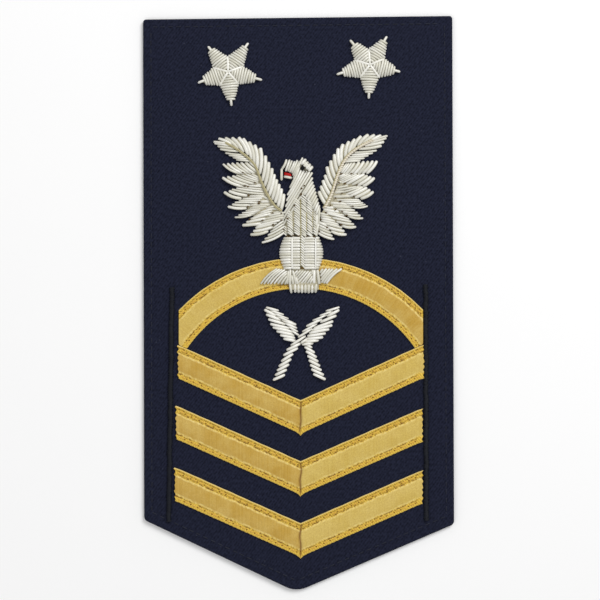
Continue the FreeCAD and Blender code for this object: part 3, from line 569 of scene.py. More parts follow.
def panelSag(points, inset):
    # How far the face lies below its highest level: slow waves, and a groove along the stitched seam
    waves = ripple(points[..., 0] + 0.4 * points[..., 1], (61.0, 37.0, 23.0), 3)
    waves = 0.5 * (1 + waves * ripple(points[..., 1], (83.0, 41.0), 5))
    puckers = 0.5 + 0.5 * ripple(points[..., 0] - points[..., 1], (2.7, 5.1, 9.7), 8)
    return 0.09 * waves + 0.13 * np.exp(-((inset - 2.9) / 0.75) ** 2) * (0.55 + 0.45 * puckers)


def makePanel():
    # One stack of rings: out over the face, round the fold, in along the hem, and in over the back
    rim, hem, thick = panelShape["rimWidth"], panelShape["hemWidth"], panelShape["hemThickness"]
    inner = panelRing(rim)
    centre = inner.mean(0)
    rings = []
    for share in np.linspace(0.02, 0.98, 44):
        flat = centre + (inner - centre) * share
        rings.append(raised(flat, clothTop - panelSag(flat, 9.0)))
    for inset in (*np.linspace(rim, 1.2, 24), 0.95):
        flat = panelRing(inset)
        rings.append(raised(flat, clothTop - panelSag(flat, inset)))
    for a in np.radians(np.linspace(90, -90, 13)):
        inset = panelShape["foldReach"] * (1 - math.cos(a))
        rings.append(raised(panelRing(inset), clothTop / 2 * (1 + math.sin(a))))
    for inset in np.linspace(1.2, hem, 9):
        flat = panelRing(inset)
        rings.append(raised(flat, 0.03 + 0.03 * ripple(flat[:, 0] + flat[:, 1], (7.0, 3.1), 4)))
    rings += [raised(panelRing(hem + 0.06), 0.3), raised(panelRing(hem + 0.1), thick)]
    for share in np.linspace(0.98, 0.03, 14):
        flat = centre + (panelRing(hem + 0.1) - centre) * share
        rings.append(raised(flat, thick + 0.05 * (1 + ripple(flat[:, 1], (31.0, 17.0), 6))))
    poles = [np.array([[*centre, height]]) for height in (clothTop - 0.05, thick + 0.05)]
    return ringStack(np.array(rings)[None], *poles, np.arange(len(rings), dtype=float)[None], 0.5)


panel = addPiece("sergePanel", [makePanel()], serge, ["ground_cloth"])
print("serge panel made")


# Strands, stitches and cords

def unit(vectors):
    return vectors / np.linalg.norm(vectors, axis=-1, keepdims=True)


def squareTo(run):  # a quarter turn to the left
    return np.stack([-run[..., 1], run[..., 0]], -1)


def ringsRound(centre, tangent, angle, reach, flat=1.0):
    # P = C + (side cos a + above sin a flat) reach, with side level and above square to it and the path
    side = unit(np.cross([0.0, 0.0, 1.0], tangent))
    above = np.cross(tangent, side)
    wide, high, reach = np.cos(angle)[:, None], np.sin(angle)[:, None], reach[..., None]
    centre, side, above = (vectors[..., None, :] for vectors in (centre, side, above))
    return centre + side * wide * reach + above * high * reach * flat


def strandBodies(start, end, bow, radius, startZ, middleZ, endZ, sides=8, tone=None, flat=1.0):
    # Each strand is a tube along P + (Q - P) u + N bow 4 u (1 - u), N square to P Q, that climbs as
    # 1 - |2 u - 1|^2.6 to its middle height; the rounded ends are 0.3 mm long
    start, end = np.atleast_2d(start).astype(float), np.atleast_2d(end).astype(float)
    count = len(start)
    bow, radius, startZ, middleZ, endZ = (
        np.broadcast_to(v, count)[:, None] for v in (bow, radius, startZ, middleZ, endZ))
    length = np.linalg.norm(end - start, axis=1)[:, None]
    tip = np.minimum(np.array([0.06, 0.3]) / length, 0.2)
    u = np.concatenate([tip, np.tile([0.28, 0.5, 0.72], (count, 1)), 1 - tip[:, ::-1]], 1)
    swell = np.array([0.66, 0.97, 1, 1, 1, 0.97, 0.66])
    catch = np.array([0.6, 0.35, 0.05, 0, 0.05, 0.35, 0.6])  # painted highlight: the ends are painted brighter, as if they catch the light
    square = squareTo((end - start) / length)

    def middle(u):
        flatPlace = start[:, None] + (end - start)[:, None] * u[..., None]
        flatPlace = flatPlace + square[:, None] * (bow * 4 * u * (1 - u))[..., None]
        lift = middleZ - (startZ + endZ) / 2
        return raised(flatPlace, startZ + (endZ - startZ) * u + lift * (1 - np.abs(2 * u - 1) ** 2.6))

    step = 0.02
    tangent = unit(middle(np.clip(u + step, 0, 1)) - middle(np.clip(u - step, 0, 1)))
    angle = 2 * np.pi * np.arange(sides) / sides - np.pi / 2
    rings = ringsRound(middle(u), tangent, angle, (radius * swell)[..., None], flat)
    poles = middle(np.zeros((count, 1)))[:, 0], middle(np.ones((count, 1)))[:, 0]
    if tone is None:
        tone = dice.uniform(0.0, 0.85, count)
    tone = np.clip(np.broadcast_to(tone, count)[:, None] + catch, 0, 1)
    return ringStack(rings, *poles, u * length, tone)


def fanEnds(fan, t):
    # A fan goes from its first strand to its last as t goes from 0 to 1
    x0, y0, x1, y1, x2, y2, x3, y3, count, bow, lastBow = fan
    start = between(np.array([x0, y0]), np.array([x2, y2]), t)
    end = between(np.array([x1, y1]), np.array([x3, y3]), t)
    return start, end, between(bow, lastBow, t)


def fanWidths(start, end, share, widest):
    # Just over half the distance between neighbours, measured square to the strands at their middles
    if len(start) < 2:
        return np.array([min(0.46, widest)])
    run = unit(end - start)
    gap = np.diff((start + end) / 2, axis=0)
    apart = np.abs(gap[:, 0] * run[1:, 1] - gap[:, 1] * run[1:, 0])
    return np.clip(share * np.append(apart, apart[-1]), 0.34, widest)


def layFans(fans, crown, footZ=(0.3, 0.3), wander=0.12, share=0.56, widest=0.58, tone=None):
    # Strands of every fan, their tops at the crown and their ends just in the cloth
    parts = []
    for fan in fans:
        count = fan[8]
        start, end, bow = fanEnds(fan, np.linspace(0, 1, count)[:, None])
        radius = fanWidths(start, end, share, widest)
        run = unit(end - start)
        start = start + run * dice.uniform(-wander, wander, count)[:, None]
        end = end + run * dice.uniform(-wander, wander, count)[:, None]
        middleZ = crown - radius + dice.uniform(-0.05, 0.05, count)
        bow = bow[:, 0] + dice.uniform(-0.05, 0.05, count)
        parts.append(strandBodies(start, end, bow, radius, clothTop + footZ[0], middleZ,
                                  clothTop + footZ[1], tone=tone, flat=0.85))
    return parts


def padFans(fans, crown, grid=(9, 13), base=laidBase):
    # The stuffing under a fan: the fan's own surface, lowered so that it only shows between the strands
    parts = []
    t = np.linspace(0.0, 1.0, grid[0])[:, None, None]
    u = np.linspace(0.1, 0.9, grid[1])[None, :, None]
    rise = (1 - np.abs(2 * u - 1) ** 2.6) * (1 - 0.35 * np.abs(2 * t - 1) ** 4)
    top = base + 0.1 + (crown - 0.62 - base) * rise[..., 0]
    for fan in fans:
        if fan[8] < 3:
            continue
        start, end, bow = fanEnds(fan, t)
        flat = start + (end - start) * u + squareTo(unit(end - start)) * bow * 4 * u * (1 - u)
        parts.append(softSlab(flat, top, base))
    return parts


def mound(outline, crown, centre, waist=2.0, rings=7):
    # Stuffing over an outline: P = C + (B - C) s, its height falls as 1 - s^waist, the underside flat
    edge = np.array(outline, float)
    centre = np.array(centre, float)
    s = np.linspace(0.12, 1, rings)
    flat = centre + (edge - centre)[None] * s[:, None, None]
    top = laidBase + 0.1 + (crown - laidBase - 0.1) * (1 - s ** waist)
    stack = np.concatenate([raised(flat, top[:, None]), raised(flat[-1:], laidBase)])[None]
    poles = np.array([[*centre, crown]]), np.array([[*centre, laidBase]])
    return ringStack(stack, *poles, np.arange(rings + 1.0)[None], 0.5)


def smoothPath(points, spacing):
    # Catmull-Rom curve through the points, resampled at even steps of its length
    points = np.array(points, float)
    padded = np.concatenate([[2 * points[0] - points[1]], points, [2 * points[-1] - points[-2]]])
    t = np.linspace(0, 1, 24, endpoint=False)[:, None]
    a, b, c, d = (padded[k:len(padded) - 3 + k, None] for k in range(4))
    curve = 2 * b + (c - a) * t + (2 * a - 5 * b + 4 * c - d) * t ** 2 + (3 * b - a - 3 * c + d) * t ** 3
    curve = np.concatenate([0.5 * curve.reshape(-1, points.shape[1]), points[-1:]])
    travelled = np.concatenate([[0], np.cumsum(np.linalg.norm(np.diff(curve, axis=0), axis=1))])
    places = np.linspace(0, travelled[-1], max(int(travelled[-1] / spacing), 2) + 1)
    return np.stack([np.interp(places, travelled, curve[:, k]) for k in range(points.shape[1])], 1), places


def ropeBody(points, radius, turnLength=1.0, strands=0, bulge=0.0, sides=14, spacing=0.25):
    # A cord along a curve, its ends tapered, its radius
    # r (1 + bulge (|cos(strands (angle - 2 pi s / turn) / 2)| - 0.6))
    path, s = smoothPath(points, spacing)
    tangent = unit(np.gradient(path, axis=0))
    angle = 2 * np.pi * np.arange(sides) / sides - np.pi / 2
    twist = angle[None] - 2 * np.pi * s[:, None] / turnLength
    ends = np.sqrt(np.clip(np.minimum(s, s[-1] - s) / 0.5, 0.08, 1))
    reach = radius * ends[:, None] * (1 + bulge * (np.abs(np.cos(strands * twist / 2)) - 0.6))
    poles = path[:1] - tangent[:1] * 0.06, path[-1:] + tangent[-1:] * 0.06
    return ringStack(ringsRound(path, tangent, angle, reach)[None], *poles, s[None], 0.6)


def stitchRow(path, pitch, length, radius, lift, skip=0.4):
    # Stitches end to end along a line, each a short arch that dips into its needle holes
    line, travelled = smoothPath(path, 0.2)
    first = np.arange(skip, travelled[-1] - length, pitch)
    first = first + dice.uniform(-0.08, 0.08, len(first)) * pitch
    start, end = (np.stack([np.interp(places, travelled, line[:, k]) for k in range(2)], 1)
                  for places in (first, first + length))
    end = end + dice.uniform(-0.05, 0.05, end.shape)
    return strandBodies(start, end, 0.0, radius, lift - 0.28, lift, lift - 0.28, sides=6)


def makeSeam():
    # Topstitching round the panel, set in from each side by the seam's inset
    corner = panelCorners(np.array(panelShape["seamInset"]))[0]
    rows = [stitchRow((a, b), panelShape["stitchPitch"], panelShape["stitchLength"], 0.17, clothTop - 0.02)
            for a, b in zip(corner, np.roll(corner, -1, 0))]
    return addPiece("topStitching", rows, navyThread)


makeSeam()
print("topstitching made")


# Gold lace

laceShape = {
    "chevrons": (
        # name, node, Y at the fold, left slope, right slope, left end X, right end X
        ("upperChevron", "upper_chevron_lace", -32.67, 0.453, 0.455, -40.3, 41.9),
        ("middleChevron", "middle_chevron_lace", -53.2, 0.448, 0.436, -41.0, 41.5),
        ("lowerChevron", "lower_chevron_lace", -74.09, 0.447, 0.4375, -41.4, 41.5),
    ),
    "foldX": 0.66,
    "rise": 11.2,
    "rockerCentre": (0.86, -41.7),
    "rockerOuter": 57.0,
    "rockerInner": 46.7,
    "rockerEnds": (-40.3, 41.9),
    "rockerGap": 0.12,
    "stations": 200,
    "stitchAcross": (1.5, 10.15),
    "stitchPitch": 2.6,
    "stitchLength": 1.75,
    "stitchLift": 0.56,
    "holeLength": 0.5,
    # relief: distance across the band, height above the underside
    "relief": (
        (0.0, 0.34), (0.12, 0.56), (0.4, 0.6), (0.62, 0.5), (0.95, 0.46), (1.5, 0.52), (2.1, 0.42),
        (2.5, 0.46), (2.8, 0.62), (3.3, 0.66), (4.4, 0.76), (5.8, 0.82), (7.2, 0.76), (8.3, 0.64),
        (8.8, 0.58), (9.3, 0.42), (9.7, 0.5), (10.2, 0.5), (10.7, 0.54), (11.05, 0.5), (11.2, 0.32),
    ),
}


def laceHeight(along, across, seed):
    # Height above the underside: the relief table, its satin part shifted by slow waves along the band,
    # plus small lumps of the weave
    place, level = np.array(laceShape["relief"]).T
    inside = smoothStep(across, 1.6, 2.6) * smoothStep(across, 10.2, 9.2)
    wander = 0.22 * ripple(along, (13.0, 7.7, 4.1), seed) * inside
    lumps = 0.022 * ripple(along + 0.5 * across, (1.3, 2.1, 0.9), seed + 1)
    lumps = lumps + 0.02 * ripple(along - across, (9.0, 5.0), seed + 2)
    edge = np.minimum(smoothStep(across, 0.0, 0.3), smoothStep(laceShape["rise"] - across, 0.0, 0.3))
    return np.interp(across + wander, place, level) + lumps * edge


def sawtooth(place, pitch, depth, seed):
    # Cut edge: teeth of the given pitch, each with its own length
    teeth = np.random.default_rng(seed).uniform(0.45, 1.0, 400)
    number = np.floor(place / pitch).astype(int)
    inside = place / pitch - number
    return depth * teeth[number % 400] * (1 - np.abs(2 * inside - 1)) ** 1.4


def laceProfile():
    # Places across the band, closer together where the relief is steep
    place = np.array(laceShape["relief"])[:, 0]
    return np.sort(np.concatenate([place, (place[1:] + place[:-1]) / 2]))


def laceBody(flat, along, across, tone, crease, seed):
    height = laceHeight(along, across, seed) - 0.3 * crease
    return gridSlab(raised(flat, laidBase + height), raised(flat, laidBase),
                    np.stack([along, across], -1), {"tone": tone, "crease": crease})


def makeChevron(row, seed):
    # A slice across the band is upright: P = (x, foldY + slope |x - foldX| - v), so that the slopes
    # meet in a mitre
    name, node, foldY, leftSlope, rightSlope, leftEnd, rightEnd = row
    foldX, rise = laceShape["foldX"], laceShape["rise"]
    share = np.linspace(0, 1, laceShape["stations"] // 2) ** 0.92
    left, right = leftEnd + (foldX - leftEnd) * share, rightEnd + (foldX - rightEnd) * share
    x, v = np.meshgrid(np.concatenate([left[:-1], right[::-1]]), laceProfile(), indexing="ij")

    def topEdge(x):
        return foldY + np.where(x < foldX, leftSlope, rightSlope) * np.abs(x - foldX)

    outLeft = sawtooth(v + 0.6, 1.9, 0.75, seed + 10) * smoothStep(x, leftEnd + 1.5, leftEnd)
    outRight = sawtooth(v + 1.1, 1.9, 0.75, seed + 20) * smoothStep(x, rightEnd - 1.5, rightEnd)
    footTeeth = sawtooth(x - leftEnd, 1.35, 0.2, seed + 30) * smoothStep(v, 10.6, rise)
    lipWave = 0.05 * ripple(x, (11.0, 5.0), seed + 4) * smoothStep(v, 0.6, 0.0)
    drop = 0.7 * np.exp(-np.abs(x - foldX) / 0.7) * smoothStep(v, 9.8, rise)
    flat = np.stack([x - outLeft + outRight, topEdge(x) - v - footTeeth + lipWave - drop], -1)
    wandering = 0.28 * ripple(v, (12.0, 6.1), seed + 6)
    fold = np.exp(-((x - foldX - wandering) / 0.34) ** 2)
    crease = fold * smoothStep(v, 0.2, 0.8) * smoothStep(v, rise, 10.2) * 0.95
    # painted sheen: the right arm's satin is given the pale tone and the left arm's the deep one
    tone = smoothStep(x, foldX - 0.3, foldX + 0.3) + 0.12 * ripple(x + v, (17.0, 9.0), seed + 5)
    body = laceBody(flat, (x - foldX) * 1.09, v, np.clip(tone, 0, 1), crease, seed)
    lines = []
    for depth in laceShape["stitchAcross"]:
        for low, high in ((leftEnd + 0.4, foldX - 0.6), (foldX + 0.6, rightEnd - 0.4)):
            places = np.linspace(low, high, 60)
            lines.append(np.stack([places, topEdge(places) - depth], 1))
    return name, node, body, lines


def rockerEnd(radius, side):
    # Angle where the rocker stops at a radius: an upright cut, or the top of the upper chevron if that
    # comes first
    cx, cy = laceShape["rockerCentre"]
    upper = laceShape["chevrons"][0]
    slope = upper[3] if side < 0 else upper[4]
    cut = np.arccos(np.clip(side * (laceShape["rockerEnds"][0 if side < 0 else 1] - cx) / radius, -1, 1))
    # line: y = foldY + slope * side * (x - foldX) + gap, seen from the centre and mirrored to the right
    level = upper[2] + slope * side * (cx - laceShape["foldX"]) + laceShape["rockerGap"] - cy
    meet = np.arctan(slope) + np.arcsin(np.clip(level / (radius * np.sqrt(1 + slope ** 2)), -1, 1))
    return np.maximum(cut, meet)


def makeRocker(seed):
    # Polar band: P = C + r (cos a, sin a), r falls from the outer to the inner edge across the band
    centre = np.array(laceShape["rockerCentre"])
    outer, rise = laceShape["rockerOuter"], laceShape["rise"]
    width = outer - laceShape["rockerInner"]
    across = laceProfile()
    radius = outer - across / rise * width
    t = np.linspace(0, 1, laceShape["stations"] + 60)[:, None]
    angle = between(np.pi - rockerEnd(radius, -1), rockerEnd(radius, 1), t)
    v = np.broadcast_to(across, angle.shape)
    along = (np.pi / 2 - angle) * (outer - width / 2)
    teeth = sawtooth(along + 200, 1.35, 0.12, seed + 30) * smoothStep(v, 10.6, rise)
    reach = radius - teeth + 0.04 * ripple(along, (11.0, 5.0), seed + 4) * smoothStep(v, 0.6, 0.0)
    flat = centre + reach[..., None] * rays(angle)
    # painted sheen: the rocker's left half is given the pale tone and its right half the deep one
    tone = 1 - smoothStep(flat[..., 0], -8.0, 4.0)
    tone = np.clip(tone * 0.85 + 0.12 * ripple(along, (17.0, 9.0), seed + 5), 0, 1)
    body = laceBody(flat, along, v, tone, np.zeros(v.shape), seed)
    lines = []
    for depth in laceShape["stitchAcross"]:
        r = outer - depth / rise * width
        turns = np.linspace(np.pi - rockerEnd(r, -1) - 0.01, rockerEnd(r, 1) + 0.01, 90)
        lines.append(centre + r * rays(turns))
    return body, lines


def declareLace(name, node, body, lines, length):
    # Gold stitches along the lines, and in the gaps between them dark stitches that stand in for the needle
    # holes: painted shade
    pitch, stitch, hole = (laceShape[key] for key in ("stitchPitch", "stitchLength", "holeLength"))
    lift = laidBase + laceShape["stitchLift"]
    band = addPiece(name + "Band", [body], goldLace, [node])
    rows = [stitchRow(line, pitch, stitch, 0.2, lift) for line in lines]
    gaps = [stitchRow(line, pitch, hole, 0.22, lift - 0.05, skip=0.58 + stitch) for line in lines]
    stitches = addPiece(name + "Stitches", rows, goldThread)
    holes = addPiece(name + "NeedleHoles", gaps, laceHoleShadeThread)


for number, chevron in enumerate(laceShape["chevrons"]):
    declareLace(*makeChevron(chevron, 40 + 7 * number), 0.0906)
declareLace("rocker", "rocker_lace", *makeRocker(90), 0.0995)
print("gold lace made")


# Black satin bars

barShape = {
    "bars": (
        # name, node, top X and Y, foot X and Y
        ("leftBar", "left_side_bar", -42.6, 5.2, -43.7, -73.3),
        ("rightBar", "right_side_bar", 42.8, 6.2, 43.1, -73.0),
    ),
    "halfWidth": 0.85,
    "pitch": 0.36,
    "thread": 0.21,
    "core": 0.42,
}


def makeBar(name, node, topX, topY, footX, footY):
    # Stitches across the bar, one beside the other, each an arch over the core cord
    shape = barShape
    thread, low = shape["thread"], clothTop + 0.05
    count = int(math.hypot(footX - topX, footY - topY) / shape["pitch"])
    middle = between(np.array([topX, topY]), np.array([footX, footY]), np.linspace(0, 1, count)[:, None])
    middle[:, 0] += 0.1 * ripple(middle[:, 1], (19.0, 7.0), 12)
    reach = shape["halfWidth"] + dice.uniform(-0.2, 0.12, (count, 2))
    lean = dice.uniform(-0.14, 0.14, count)
    start = middle - np.stack([reach[:, 0], lean], 1)
    end = middle + np.stack([reach[:, 1], lean], 1)
    top = topOf(node) - thread
    stitches = strandBodies(start, end, 0.0, thread, low, top, low, sides=6)
    core = raised(np.array([(topX, topY), middle[count // 2], (footX, footY)]), top - 0.35)
    addPiece(name + "Satin", [stitches, ropeBody(core, shape["core"], sides=8, spacing=1.5)],
             blackThread, [node])


for bar in barShape["bars"]:
    makeBar(*bar)
print("side bars made")


# Stars

starShape = {
    "stars": (
        # name, node, centre X and Y, then each arm's direction in degrees and its length
        ("leftStar", "left_star", -23.7, 77.8,
         ((55.5, 11.9), (127.8, 11.0), (199.3, 10.7), (275.7, 11.3), (347.2, 11.6))),
        ("rightStar", "right_star", 24.0, 80.2,
         ((59.3, 11.2), (128.2, 10.7), (195.7, 11.5), (268.1, 11.2), (347.6, 10.4))),
    ),
    "waist": 5.4,
    "strandPitch": 0.84,
    "strand": 0.43,
    "armStrand": 0.46,
    "notchStrand": 0.44,
    # three short strands over the middle: start X and Y, end X and Y
    "middle": ((-0.8, -0.2, 0.5, 0.3), (-0.5, 0.35, 0.7, -0.1), (-0.4, -0.7, 0.8, -0.4)),
}


def makeStar(name, node, cx, cy, arms):
    # Strands across each arm, as wide as the arm is there: d tan 36 inside the notches, then tapering;
    # one strand along each tip and one from the middle to each notch
    shape = starShape
    centre = np.array([cx, cy])
    crown, low = topOf(node), clothTop + 0.3
    turns, lengths = np.radians([arm[0] for arm in arms]), np.array([arm[1] for arm in arms])
    notchTurn = (turns + np.unwrap(np.roll(turns, -1))) / 2
    notchTurn[-1] = (turns[-1] + turns[0] + 2 * np.pi) / 2
    slant = math.radians(36)
    notch, widest = shape["waist"] * math.cos(slant), shape["waist"] * math.sin(slant)
    parts = []
    for turn, length in zip(turns, lengths):
        run = rays(turn)
        side = squareTo(run)
        d = np.arange(1.5, length - 1.7, shape["strandPitch"])
        taper = widest + (0.45 - widest) * (d - notch) / (length - notch)
        half = np.where(d < notch, d * math.tan(slant), taper) + dice.uniform(-0.1, 0.12, len(d))
        lean = dice.uniform(-0.1, 0.1, len(d))
        start = centre + run * (d - lean)[:, None] - side * half[:, None]
        end = centre + run * (d + lean)[:, None] + side * half[:, None]
        top = crown - 0.45 - 0.75 * (d / length) ** 1.3
        tone = dice.uniform(0.0, 0.5, len(d))
        parts.append(strandBodies(start, end, 0.0, shape["strand"], low, top, low, tone=tone))
        parts.append(strandBodies(centre + run * (length - 2.4), centre + run * length, 0.0,
                                  shape["armStrand"], crown - 1.35, crown - 1.3, clothTop + 0.25))
    near, reach = (centre + far * rays(notchTurn) for far in (0.25, shape["waist"]))
    parts.append(strandBodies(near, reach, 0.0, shape["notchStrand"],
                              crown - 0.62, crown - 0.95, low, tone=0.9))
    middle = np.array(shape["middle"])
    parts.append(strandBodies(centre + middle[:, :2], centre + middle[:, 2:], 0.0, 0.34,
                              crown - 0.8, crown - 0.62, crown - 0.8, tone=0.4))
    tips = centre + lengths[:, None] * rays(turns) * 0.93
    edge = np.stack([tips, centre + (reach - centre) * 0.95], 1).reshape(-1, 2)
    beyond = np.roll(edge, -1, 0)
    edge = np.concatenate([np.linspace(a, b, 6, endpoint=False) for a, b in zip(edge, beyond)])
    padding = addPiece(name + "Padding", [mound(edge, crown - 0.75, centre, 1.2)], felt)
    addPiece(name + "Strands", parts, bullion, [node])


for star in starShape["stars"]:
    makeStar(*star)
print("stars made")


# Wings. A fan of strands is its first strand (start, end), its last strand (start, end), how many
# strands it has, and how far the first and the last bulge to their left.

def single(x0, y0, x1, y1, bow=0.0):  # a fan of one strand
    return (x0, y0, x1, y1, x0, y0, x1, y1, 1, bow, bow)


wingShape = {
    "leftWing": {
        "node": "left_wing",
        "coverts": (
            single(-28.7, 54.4, -23.1, 53.5),
            (-27.0, 55.5, -21.9, 52.9, -20.3, 55.9, -17.0, 49.7, 4, 0.3, 0.5),
            (-18.7, 55.4, -15.9, 48.4, -12.9, 52.4, -13.2, 43.4, 4, 0.6, 0.6),
            (-11.2, 49.8, -12.3, 41.2, -9.0, 45.4, -10.8, 37.6, 3, 0.5, 0.4),
            (-8.2, 43.5, -10.0, 36.0, -5.0, 36.9, -6.0, 31.4, 5, 0.3, 0.2),
        ),
        "tipFeathers": (
            (-28.3, 53.9, -22.9, 53.0, -26.3, 52.0, -20.1, 51.2, 3, 0.0, -0.2),
            (-24.7, 50.7, -18.6, 50.0, -21.0, 48.4, -16.2, 47.9, 4, -0.2, -0.1),
        ),
        "feathers": (
            (-25.5, 47.0, -19.5, 43.7, -19.4, 47.5, -14.9, 43.8, 5, -0.6, -0.3),
            (-17.9, 47.6, -14.0, 44.3, -16.4, 47.6, -14.0, 45.6, 2, -0.2, 0.0),
            (-25.6, 42.4, -18.7, 39.4, -22.3, 42.9, -14.7, 40.2, 3, -0.6, -0.3),
            (-20.9, 43.2, -13.5, 40.7, -15.9, 43.5, -13.2, 42.2, 4, -0.3, 0.0),
            (-25.0, 37.5, -19.3, 35.4, -23.4, 37.8, -17.2, 36.3, 2, -0.6, -0.3),
            (-22.6, 38.4, -11.4, 36.8, -17.5, 39.6, -12.5, 39.3, 4, -0.3, 0.0),
            (-23.7, 32.6, -17.4, 32.1, -22.4, 33.3, -16.4, 33.1, 2, -0.4, -0.2),
            (-21.4, 34.0, -13.5, 34.0, -18.9, 35.2, -12.2, 35.4, 3, -0.1, 0.0),
            (-21.5, 29.0, -14.6, 30.3, -16.5, 31.9, -10.9, 32.5, 5, -0.5, 0.1),
            (-18.8, 26.3, -12.8, 26.9, -16.2, 28.3, -9.3, 30.2, 3, -0.1, 0.1),
            (-15.0, 29.1, -8.8, 31.1, -10.8, 31.9, -7.7, 32.8, 3, 0.1, 0.1),
            (-16.1, 23.2, -10.2, 24.4, -14.5, 25.4, -7.2, 27.2, 3, -0.5, -0.1),
            (-14.2, 26.1, -5.0, 28.2, -10.3, 29.4, -4.8, 30.5, 4, 0.0, 0.1),
            (-12.3, 20.5, -4.8, 23.9, -8.6, 25.2, -5.0, 27.8, 5, -0.5, 0.0),
        ),
        "inner": (
            single(-16.6, 36.1, -11.3, 36.0), single(-14.3, 40.0, -12.0, 39.7),
            single(-11.8, 35.9, -10.2, 35.1), (-16.4, 33.2, -9.5, 33.2, -12.8, 34.2, -9.8, 34.3, 2, 0.0, 0.0),
            single(-15.5, 32.5, -10.8, 32.5), single(-8.8, 30.3, -5.6, 31.0),
            single(-10.4, 31.8, -6.6, 31.9),
        ),
        "bed": (
            (-21.5, 46.6, -14.6, 47.4), (-20.5, 42.4, -13.0, 42.8), (-19.5, 38.0, -11.6, 39.2),
            (-18.5, 34.0, -10.4, 35.8), (-16.5, 30.6, -8.6, 32.8), (-13.5, 27.4, -6.0, 31.0),
            (-9.5, 24.6, -5.6, 26.6),
        ),
    },
    "rightWing": {
        "node": "right_wing",
        "coverts": (
            (29.9, 56.4, 24.8, 54.5, 23.5, 56.7, 20.0, 52.6, 4, -0.1, -0.4),
            (21.1, 56.2, 18.3, 51.5, 15.0, 53.7, 14.7, 47.4, 4, -0.4, -0.5),
            (13.4, 52.2, 14.0, 46.0, 9.6, 46.0, 12.0, 39.8, 4, -0.4, -0.5),
            (9.0, 43.2, 11.7, 37.9, 6.9, 37.7, 9.5, 33.0, 4, -0.5, -0.3),
        ),
        "tipFeathers": (
            (29.6, 55.7, 24.0, 54.0, 28.0, 53.1, 20.3, 52.0, 3, 0.1, 0.3),
            (26.3, 51.5, 18.7, 50.8, 20.7, 48.1, 15.3, 47.7, 5, 0.3, 0.1),
        ),
        "feathers": (
            (26.4, 48.0, 22.9, 43.8, 18.9, 47.5, 15.6, 43.2, 6, 0.4, 0.2),
            (18.0, 47.6, 14.7, 43.3, 16.3, 47.2, 13.6, 43.8, 3, 0.1, 0.0),
            (25.5, 42.3, 21.6, 39.4, 22.1, 43.5, 16.2, 40.2, 4, 0.3, 0.1),
            (21.0, 43.5, 14.5, 40.5, 15.7, 43.4, 13.4, 42.6, 5, 0.1, 0.0),
            (25.1, 37.6, 20.9, 35.3, 23.0, 39.0, 17.0, 36.0, 3, 0.4, 0.2),
            (21.7, 39.2, 15.8, 36.6, 20.7, 39.5, 12.7, 38.1, 3, 0.2, 0.1),
            (23.3, 32.8, 17.5, 32.7, 20.4, 34.9, 12.8, 34.8, 5, 0.6, 0.0),
            (21.8, 28.7, 16.5, 29.6, 18.0, 32.3, 11.6, 32.6, 5, 0.5, 0.1),
            (19.4, 25.8, 14.5, 26.3, 17.0, 28.3, 9.6, 30.3, 4, 0.5, -0.1),
            (16.2, 23.2, 11.1, 24.4, 14.8, 25.4, 7.9, 27.3, 3, 0.5, 0.0),
            (13.6, 26.5, 7.6, 28.0, 9.9, 29.8, 7.0, 30.3, 4, 0.0, 0.0),
            (12.0, 21.6, 6.4, 23.9, 9.8, 25.9, 6.8, 27.4, 5, 0.4, 0.0),
        ),
        "inner": (
            single(16.7, 39.6, 12.8, 38.9), single(14.6, 41.0, 12.9, 40.3),
            (16.4, 37.8, 12.1, 37.3, 17.6, 36.1, 11.7, 35.9, 2, 0.0, 0.0),
            (18.0, 32.4, 11.4, 32.9, 17.3, 33.3, 10.7, 33.9, 2, 0.0, 0.0),
            (15.3, 29.6, 8.8, 31.0, 11.9, 32.2, 8.2, 32.3, 3, 0.2, 0.0),
        ),
        "bed": (
            (22.5, 46.4, 14.4, 46.8), (21.5, 41.8, 13.4, 42.6), (20.5, 37.4, 12.6, 38.6),
            (18.5, 33.8, 10.8, 35.2), (17.0, 30.4, 9.2, 32.4), (13.5, 26.6, 7.6, 30.4),
            (10.0, 24.0, 7.2, 26.4),
        ),
    },
    "leftRib": (
        (-24.6, 54.2), (-21.9, 52.7), (-19.7, 51.3), (-16.8, 49.0), (-14.3, 46.0), (-12.5, 41.4),
        (-10.4, 36.8), (-7.9, 33.0), (-5.5, 31.1),
    ),
    "rightRib": (
        (25.4, 55.1), (21.6, 53.2), (18.2, 51.0), (15.9, 48.6), (14.2, 45.6), (12.9, 42.2), (11.9, 39.0),
        (10.9, 36.2), (9.5, 33.4), (8.6, 31.9),
    ),
    # dark brown stitches standing in for the needle holes between the strands: painted shade
    "holes": (
        (-17.0, 39.2), (-18.0, 39.5), (-14.7, 40.6), (-16.8, 36.3), (-13.2, 34.2), (-17.0, 32.5),
        (-16.4, 28.3), (-12.1, 27.9), (-8.7, 30.4), (-5.8, 30.3), (-5.7, 28.0), (-8.6, 26.5),
        (-13.3, 33.6), (-18.7, 43.9), (14.3, 43.5), (17.7, 43.6), (13.6, 40.6), (15.5, 40.2),
        (19.6, 39.8), (14.6, 37.0), (18.6, 36.0), (12.4, 35.4), (14.0, 34.3), (10.7, 33.0),
        (12.4, 31.5), (14.6, 30.9), (16.2, 29.6), (9.2, 30.5), (14.3, 26.4), (7.4, 28.2),
        (9.6, 25.5), (7.0, 24.3), (18.2, 32.7),
    ),
}


